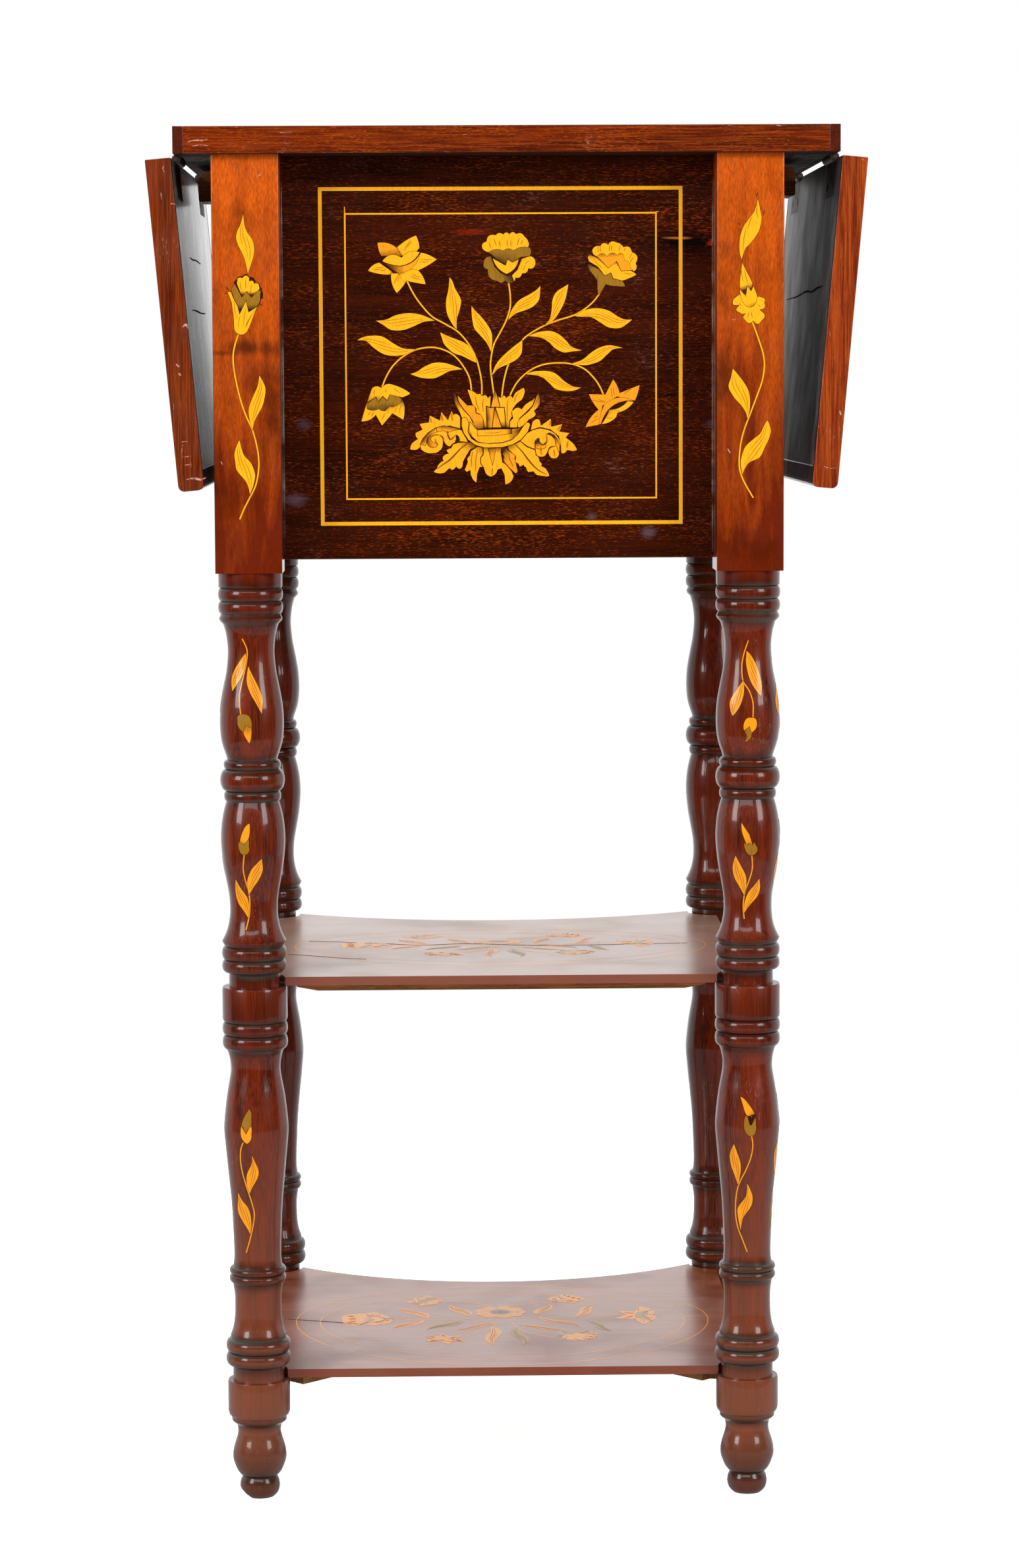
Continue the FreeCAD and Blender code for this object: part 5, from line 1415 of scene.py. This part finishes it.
def on_shelf(left, top, enlargement, level):
    """Turns a corner of a drawing over a cutting into millimetres on a level board."""
    def carry(corner):
        ray = ray_through(left + corner[0] / enlargement, top + corner[1] / enlargement)
        place = camera_place + ray * ((level - camera_place.z) / ray.z)
        return (place.x / MM, place.y / MM)
    return carry


def turned_flower(petals, veins, middle, unit, place, angle):
    """A flower of the panel, turned by an angle about its middle and put on the shelf."""
    turn_by = math.radians(angle)

    def carry(corner):
        du, dv = (corner[0] - middle[0]) * unit, (middle[1] - corner[1]) * unit
        return (place[0] + du * math.cos(turn_by) - dv * math.sin(turn_by),
                place[1] + du * math.sin(turn_by) + dv * math.cos(turn_by)) + tuple(corner[2:])
    return flower(carry, shelf_face, [(faded[wood], *rest) for wood, *rest in petals], veins, vein_width=0.35, line=0)


def leaf_sides(base, tip, width, sway=0.10):
    """The two sides of a leaf that swells near its base and sways like an S."""
    du, dv = tip[0] - base[0], tip[1] - base[1]
    length = math.hypot(du, dv)
    nu, nv = -dv / length, du / length
    sides = []
    for way in (1, -1):
        side_points = []
        for share in (0.12, 0.28, 0.45, 0.62, 0.8, 0.92):
            out = way * width / 2 * math.sin(math.pi * share ** 0.85) + sway * length * math.sin(math.tau * share) * 0.5
            side_points.append((base[0] + du * share + nu * out, base[1] + dv * share + nv * out))
        sides.append(side_points)
    return (base, tip, sides[0], sides[1])


# %% Rose, leaves, end flowers and ovals of one shelf
rose_place = (-4.5, -4.5)
shelf_shapes = []
picture_of_shelf = on_shelf(400, 1890, 2.1778, shelf_top)
leaf_marks = [
    ((545, 242), (450, 205), 7.5, "faded"), ((530, 248), (425, 275), 7, "faded"),
    ((680, 236), (618, 198), 8, "faded"), ((660, 250), (540, 279), 7, "faded_olive"),
    ((775, 258), (634, 279), 6.5, "faded"), ((752, 268), (765, 330), 8, "faded"),
    ((838, 272), (856, 330), 7, "faded_olive"), ((845, 264), (992, 281), 6, "faded"),
    ((908, 238), (1046, 269), 6.5, "faded"), ((903, 230), (947, 196), 7.5, "faded"),
    ((1024, 238), (1102, 195), 7.5, "faded"), ((1070, 248), (1152, 284), 7, "faded_olive")]
for wood in ("faded", "faded_olive"):
    chosen = [leaf_sides(picture_of_shelf(base), picture_of_shelf(tip), width, 0.10 if number % 2 else -0.10)
              for number, (base, tip, width, leaf_kind) in enumerate(leaf_marks) if leaf_kind == wood]
    stem_marks = [] if wood != "faded" else [
        [(780, 252), (735, 283), (668, 301)], [(815, 250), (862, 286), (965, 306)],
        [(740, 240), (600, 247), (420, 244)], [(830, 240), (1030, 240), (1172, 229)],
        [(762, 208), (700, 192), (585, 186)], [(800, 205), (860, 196), (955, 187)]]
    shelf_shapes += leaves_and_stems(lambda corner: corner, shelf_face, chosen,
                                     [[picture_of_shelf(mark) for mark in stem] for stem in stem_marks],
                                     stem_width=0.9, wood=wood, vein_width=0.35, line=0)
for ring, (count, reach, broad, wood) in enumerate([(9, 15.5, 11.5, "faded"), (7, 10.5, 9.0, "faded"),
                                                    (5, 6.0, 6.5, "faded_dark")]):
    for number in range(count):
        angle = math.tau * (number + 0.5 * ring) / count
        middle = (rose_place[0] + math.cos(angle) * reach * 0.55, rose_place[1] + math.sin(angle) * reach * 0.55)
        petal = [(middle[0] + reach * 0.48 * math.cos(a) * math.cos(angle) - broad / 2 * math.sin(a) * math.sin(angle),
                  middle[1] + reach * 0.48 * math.cos(a) * math.sin(angle) + broad / 2 * math.sin(a) * math.cos(angle))
                 for a in (math.tau * step / 14 for step in range(14))]
        shelf_shapes.append(cut_shape(sawn_edge(petal), woods[wood], shelf_face, 0.10 + 0.02 * ring + 0.002 * number,
                                      (rose_place, (middle[0] * 2 - rose_place[0], middle[1] * 2 - rose_place[1])),
                                      line=0))
end_carnation = [("yellow" if wood == "olive" else wood, *rest) for wood, *rest in middle_carnation]
shelf_shapes += turned_flower(end_carnation, middle_veins, (830, 730), 0.029, (-85, -19), 90)
shelf_shapes += turned_flower(star_flower, star_veins, (760, 750), 0.032, (80, -15), 52)
shelf_shapes += turned_flower(lily, lily_veins, (780, 740), 0.0215, (-38, -73), 140)
shelf_shapes += turned_flower(right_carnation, right_veins, (760, 760), 0.021, (41, -68), 240)
shelf_shapes += turned_flower(hanging_tulip, hanging_veins, (650, 700), 0.022, (-50, 29), -131)
shelf_shapes += turned_flower(end_carnation, middle_veins, (830, 730), 0.019, (37, 29), -52)
for (reach_x, front, back, middle_y, width) in ((124.5, 116, 88, -22, 0.7), (110, 94, 70, -25, 0.6)):
    oval = [(-3.5 + reach_x * math.cos(a), middle_y + (back if math.sin(a) > 0 else front) * math.sin(a))
            for a in (math.tau * step / 48 for step in range(49))]
    for first in range(0, 48, 12):
        shelf_shapes.append(cut_shape(strip(oval[first:first + 13], width, steps=2), woods["faded"], shelf_face, 0.05,
                                      line=0))
lower_flowers = glue_down("lower_shelf_flowers", shelf_shapes, "frame", thickness=0.3)
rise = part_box("middle_shelf")[1].z - shelf_top
middle_flowers = copy_of(lower_flowers, "middle_shelf_flowers",
                         Matrix.Translation((0, 0.0, rise)) @ Matrix.Diagonal((0.99, 0.76, 1, 1)))
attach(middle_flowers, "frame")

# %% [markdown]
# ### Cracks, joints and worn lines
# The middle shelf has split from end to end, and the lower one has a short split at the left. Where the
# panel meets the blocks the polish has worn to a pale dusty line. Each is a very thin strip with an uneven
# edge: a crack is almost black, and the dust in the joint is grey in patches.

# %% Cracks and dusty joints
def dull_finish(name, scale, detail, dark, pale, roughness):
    """A dry finish that wavers between two colours. Each colour has its place on the way between them."""
    finish, shader = new_finish(name)
    waver = noise(finish, own_place(finish), scale, detail)
    fill(shader, {"Base Color": ramp(finish, waver, dark, pale), "Roughness": roughness, "Specular IOR Level": 0.1})
    return finish


open_split = dull_finish("open_split_in_mahogany", 400, 3, (0.4, "#3a1a10"), (0.7, "#7c4c38"), 0.9)
joint_dust = dull_finish("dust_in_panel_joint", 60, 4, (0.38, "#3a2a26"), (0.60, "#80746e"), 0.85)


def uneven_strip(points, width, seed, finish, lay, height=0.03):
    """A narrow strip along points whose width wavers."""
    chance = random.Random(seed)
    line = smooth_line(points, 6)
    sides = ([], [])
    for number, (u, v) in enumerate(line):
        a, b = line[max(0, number - 1)], line[min(len(line) - 1, number + 1)]
        length = math.hypot(b[0] - a[0], b[1] - a[1]) or 1
        fade = min(1, 6 * number / len(line), 6 * (len(line) - 1 - number) / len(line))
        half = width / 2 * (0.25 + 0.75 * fade) * chance.uniform(0.6, 1.3)
        sides[0].append((u - (b[1] - a[1]) / length * half, v + (b[0] - a[0]) / length * half))
        sides[1].append((u + (b[1] - a[1]) / length * half, v - (b[0] - a[0]) / length * half))
    return cut_shape(sawn_edge(sides[0] + sides[1][::-1]), finish, lay, height, line=0)


middle_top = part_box("middle_shelf")[1].z
picture_of_middle = on_shelf(400, 1360, 2.1778, middle_top)


def middle_face(u, v, height):
    """Lays a point of a drawing on the middle shelf."""
    return (u * MM, v * MM, middle_top + height * MM)


long_split = [picture_of_middle(mark) for mark in (
    (150, 150), (250, 152), (330, 156), (410, 158), (520, 163), (650, 158), (770, 160), (900, 164), (1060, 162),
    (1250, 158), (1400, 155))]
short_split = [picture_of_middle(mark) for mark in ((80, 193), (160, 198), (250, 205), (340, 209))]
cracks = [uneven_strip(long_split, 0.42, 3, open_split, middle_face, 0.16),
          uneven_strip(short_split, 0.45, 5, open_split, middle_face, 0.16),
          uneven_strip([picture_of_shelf(mark) for mark in ((66, 243), (130, 248), (200, 252), (262, 257), (325, 263))],
                       0.6, 7, open_split, shelf_face, 0.16)]
glue_down("shelf_splits", cracks, "frame", thickness=0.2)
block_inner_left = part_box("leg_back_left")[1].x / MM
block_inner_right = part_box("leg_back_right")[0].x / MM
joints_of_panel = [uneven_strip([(x, z) for z in range(542, 766, 14)], 0.8, seed, joint_dust, panel)
                   for x, seed in ((block_inner_left + 0.55, 11), (block_inner_right - 0.55, 12))]
glue_down("panel_joint_dust", joints_of_panel, "frame", thickness=0.15)

# %% [markdown]
# ## Drawer knobs and string lines
# The knobs are small turnings: a narrow neck that two fingers reach behind and a round cap. They are spun
# from one outline like the legs, then laid over so that the lathe's axis points out of the drawer. A thin
# string line frames each drawer front, as the line on the panel does.

# %% Knobs and lines of the two drawers
knob_wood = polished_wood("turned_mahogany_knob", "y", "#3a0c03", "#641e08", "#86340e", stripe=5, polish=0.8)[0]
knob_outline = [(0, 0), (7.4, 0), (7.4, 1.6)]
sweep(knob_outline, [(5.4, 3.2), (4.8, 5.6), (5.1, 7.4), (6.6, 9.4)])
knob_outline += [(9.0, 10.1), (10.4, 10.6)]
sweep(knob_outline, [(11.6, 12.2), (12.0, 14.6), (11.4, 17.0), (9.4, 19.2), (6.0, 20.5), (2.6, 20.95)])
knob_outline.append((0, 21.0))
both_margins = 22
knob = spin_outline("knob", knob_outline, steps=40)
knob.data.materials.append(knob_wood)
for level_name in ("upper", "lower"):
    low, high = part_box(level_name + "_drawer_knob")
    front_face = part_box(level_name + "_drawer_front")[1].y
    middle = Vector(((low.x + high.x) / 2, front_face, (low.z + high.z) / 2))
    one = copy_of(knob, level_name + "_turned_knob",
                  Matrix.Translation(middle) @ Matrix.Rotation(math.radians(-90), 4, "X"))
    alone(one)
    bpy.ops.object.shade_smooth_by_angle(angle=math.radians(32))
    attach(one, level_name + "_drawer")
    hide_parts(level_name + "_drawer_knob")
    low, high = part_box(level_name + "_drawer_front")
    centre = ((low.x + high.x) / 2 / MM, (low.z + high.z) / 2 / MM)
    size = ((high.x - low.x) / MM - both_margins, (high.z - low.z) / MM - both_margins)

    def drawer_face(u, v, height, centre=centre, depth=high.y):
        return ((2 * centre[0] - u) * MM, depth + height * MM, v * MM)

    glue_down(level_name + "_drawer_string_line", [string_frame(centre, size, 0.9, drawer_face)],
              level_name + "_drawer")
bpy.data.objects.remove(knob)

# %% [markdown]
# ## Hinge screws
# Three slotted iron screws hold each hinge plate. One head is modelled: a flat cylinder with a raised cap
# and a slot that is cut by two lines across the cap and pressed in. It is copied to every plate, each copy
# turned a little differently, as a joiner leaves them.

# %% One screw head and its copies
iron, iron_shader = new_finish("dark_wrought_iron_hinge")
scale_marks = noise(iron, own_place(iron), 900, 4)
rust = ramp(iron, scale_marks, (0.45, "#3c3632"), (0.75, "#6a4c38"))
iron_dull = spread(iron, scale_marks, 0.0, 1.0, 0.75, 0.35)
fill(iron_shader, {"Base Color": rust, "Roughness": iron_dull, "Metallic": 0.5})

bpy.ops.object.select_all(action="DESELECT")
half_slot = 0.3
bpy.ops.mesh.primitive_cylinder_add(vertices=20, radius=2.3 * MM, depth=0.8 * MM, location=(0, 0, -0.28 * MM))
screw = bpy.context.object
screw.data.transform(Matrix.Translation(screw.location))
screw.location = (0, 0, 0)
screw.data.materials.append(iron)
bpy.ops.object.mode_set(mode="EDIT")
bpy.ops.mesh.select_all(action="DESELECT")
head = bmesh.from_edit_mesh(screw.data)
for face in head.faces:
    face.select = face.normal.z > 0.9
bmesh.update_edit_mesh(screw.data)
bpy.ops.mesh.inset(thickness=0.5 * MM, depth=-0.14 * MM)
for edge_of_slot in (-half_slot, half_slot):
    bpy.ops.mesh.select_all(action="SELECT")
    bpy.ops.mesh.bisect(plane_co=(edge_of_slot * MM, 0, 0), plane_no=(1, 0, 0))
bpy.ops.mesh.select_all(action="DESELECT")
head = bmesh.from_edit_mesh(screw.data)
for face in head.faces:
    face.select = face.normal.z > 0.9 and abs(face.calc_center_median().x) < half_slot * MM
bmesh.update_edit_mesh(screw.data)
bpy.ops.mesh.extrude_region_move(TRANSFORM_OT_translate={"value": (0, 0, -0.4 * MM)})
bpy.ops.object.mode_set(mode="OBJECT")

pin_height, pin_reach, face_of_plate = 763.8, 184.75, 1.2
hanging = math.radians(95.14)
hinge_middles = (-112, 112)
screw_places = ((-17, 15.5), (0, 11), (17, 15.5))  # along the hinge, and from its pin
screw_count = 0
chance = random.Random(21)
for side, way in (("left", -1), ("right", 1)):
    for plate, turned_down, body in (("top", None, "frame"), ("leaf", hanging, side + "_leaf")):
        heads = []
        for middle_y in hinge_middles:
            for along, reach in screw_places:
                if turned_down is None:
                    place = Vector((way * (pin_reach - reach), middle_y + along, pin_height + face_of_plate))
                    outwards = Vector((0, 0, -1))
                else:
                    cos, sin = math.cos(turned_down), math.sin(turned_down)
                    place = Vector((way * (pin_reach + reach * cos + face_of_plate * sin), middle_y + along,
                                    pin_height - reach * sin + face_of_plate * cos))
                    outwards = Vector((-way * sin, 0, -cos))
                turn_of_slot = Matrix.Rotation(chance.uniform(0, math.pi), 4, "Z")
                heads.append(copy_of(screw, "screw", Matrix.Translation(place * MM)
                                     @ outwards.to_track_quat("Z", "Y").to_matrix().to_4x4() @ turn_of_slot))
        screw_count += len(heads)
        screws = joined(heads)
        screws.name = side + "_hinge_" + plate + "_screws"
        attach(screws, body)
bpy.data.objects.remove(screw)
print("screws in the hinges", screw_count)

# %% [markdown]
# ## Cracks in the undersides of the leaves
# Dry, unpolished boards open along the grain. Each crack is a narrow dark strip that swells and thins, laid
# on the inner face of a leaf; the face hangs on the hinge pin at the angle of the leaf.

# %% Three cracks
for side, way, cracks in (
        ("left", -1, [[(53, -75), (53.8, -50), (53.2, -20), (54, 30)],
                      [(84, -110), (83.7, -70), (84.3, -20), (83.8, 30)]]),
        ("right", 1, [[(72, -120), (72.5, -90), (74, -60), (73.2, -20), (75, 40), (75.5, 110)]])):
    def leaf_underside(u, v, height, way=way):
        cos, sin = math.cos(hanging), math.sin(hanging)
        out = face_of_plate - height
        return (way * (pin_reach + u * cos + out * sin) * MM, v * MM, (pin_height - u * sin + out * cos) * MM)

    strips = [uneven_strip(points, 0.9, 11 + number, open_split, leaf_underside, 0.12)
              for number, points in enumerate(cracks)]
    glue_down(side + "_leaf_cracks", strips, side + "_leaf", thickness=0.3)

# %% [markdown]
# ## Knocks and scrapes
# An old table carries the marks of chairs and keys. Scraped edges show pale bare wood. Each mark is a
# short strip a few tenths of a millimetre wide, drawn along the camera's ray onto the face it lies on:
# the edge of the top, the ends of the leaves and the blocks.

# %% Marks on the edges
scraped_wood = dull_finish("scraped_bare_mahogany", 500, 3, (0.42, "#8c4a30"), (0.62, "#d0a898"), 0.8)

# Each mark is its width in millimetres and its points in the picture.
marks = {
    "top_lipping_back": ("frame", "top_mahogany", (
        (0.9, (282, 216), (296, 213), (308, 213), (315, 211)), (0.5, (291, 222), (303, 220), (316, 221)),
        (0.4, (1178, 190), (1185, 191)), (0.4, (700, 205), (708, 204)), (0.4, (890, 214), (893, 219)))),
    "left_leaf_end_lippings": ("left_leaf", "leaf_mahogany", (
        (0.4, (249, 250), (247, 256), (250, 262)), (0.35, (244, 292), (245, 303)), (0.7, (259, 309), (266, 310)),
        (1.5, (277, 497), (282, 493), (285, 499)), (1.3, (267, 553), (272, 557)), (1.3, (271, 567), (275, 570)),
        (0.35, (275, 671), (285, 670)), (0.35, (277, 674), (276, 686), (277, 697)), (0.35, (279, 694), (290, 692)),
        (0.35, (289, 697), (290, 711)), (0.35, (280, 706), (291, 705)),
        (1.2, (283, 728), (294, 726), (305, 728), (312, 725)))),
    "right_leaf_end_lippings": ("right_leaf", "leaf_mahogany", (
        (0.8, (1274, 623), (1276, 630)), (0.5, (1250, 708), (1260, 711), (1268, 710)),
        (0.35, (1306, 240), (1312, 244)))),
    "leg_back_left": ("frame", "leg_mahogany",
                      ((0.4, (390, 268), (395, 265), (394, 272)), (0.4, (335, 700), (338, 706)))),
    "leg_back_right": ("frame", "leg_mahogany", ((0.6, (1104, 681), (1108, 688)), (0.4, (1110, 486), (1117, 484)))),
}
# A mark stands 0.05 mm proud of the wood. The outermost faces are planed back by a little more than that, so
# that the table grows no larger.
planed = 0.06 * MM
for board_name in ("top_back_edging", "left_leaf_end_edging", "right_leaf_end_edging"):
    for vertex in bpy.data.objects[board_name].data.vertices:
        if vertex.co.y < frame_low[1] + 0.005 * MM:
            vertex.co.y += planed
for node_name, (body, slot, lines) in marks.items():
    face_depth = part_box(node_name)[0].y
    if face_depth < frame_low[1] + planed:
        face_depth += planed
    scrapes = []
    for width, *points in lines:
        places = [in_picture(px, py, face_depth) for px, py in points]
        scrapes.append(cut_shape(strip([(place.x / MM, place.z / MM) for place in places], width, taper=0.7),
                                 scraped_wood, upright_face(face_depth), 0.05, line=0))
    glue_down(node_name + "_scrapes", scrapes, body, thickness=0.15)

# %% [markdown]
# ## Inside pieces
# Drawer boxes, runners and bearers are plain oak and pine. They keep their shapes from the frame and get a
# raw wood finish: no polish, a wide grain and a dry surface.

# %% Raw oak and pine
def raw_wood(name, grain, deep, middle, pale):
    """Wood without polish: dry, with wide pores."""
    return polished_wood(name, grain, deep, middle, pale, roughness=0.75, polish=0.0, pores=0.6)[0]


oak_along_x = raw_wood("raw_oak_drawer_back", "x", "#7a5630", "#a87f4c", "#bb9460")
oak_along_y = raw_wood("raw_oak_drawer_side", "y", "#7a5630", "#a87f4c", "#bb9460")
pine_along_x = raw_wood("stained_pine_batten", "x", "#462610", "#6a3e1e", "#7e4c28")

for node_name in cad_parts:
    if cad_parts[node_name].hide_render:
        continue
    if "hinge" in node_name:
        dress(node_name, iron)
    elif "batten" in node_name:
        dress(node_name, pine_along_x)
    elif "drawer_sides" in node_name or "runner" in node_name or "bottom" in node_name:
        dress(node_name, oak_along_y)
    else:
        dress(node_name, oak_along_x)
    print("from the frame:", node_name)
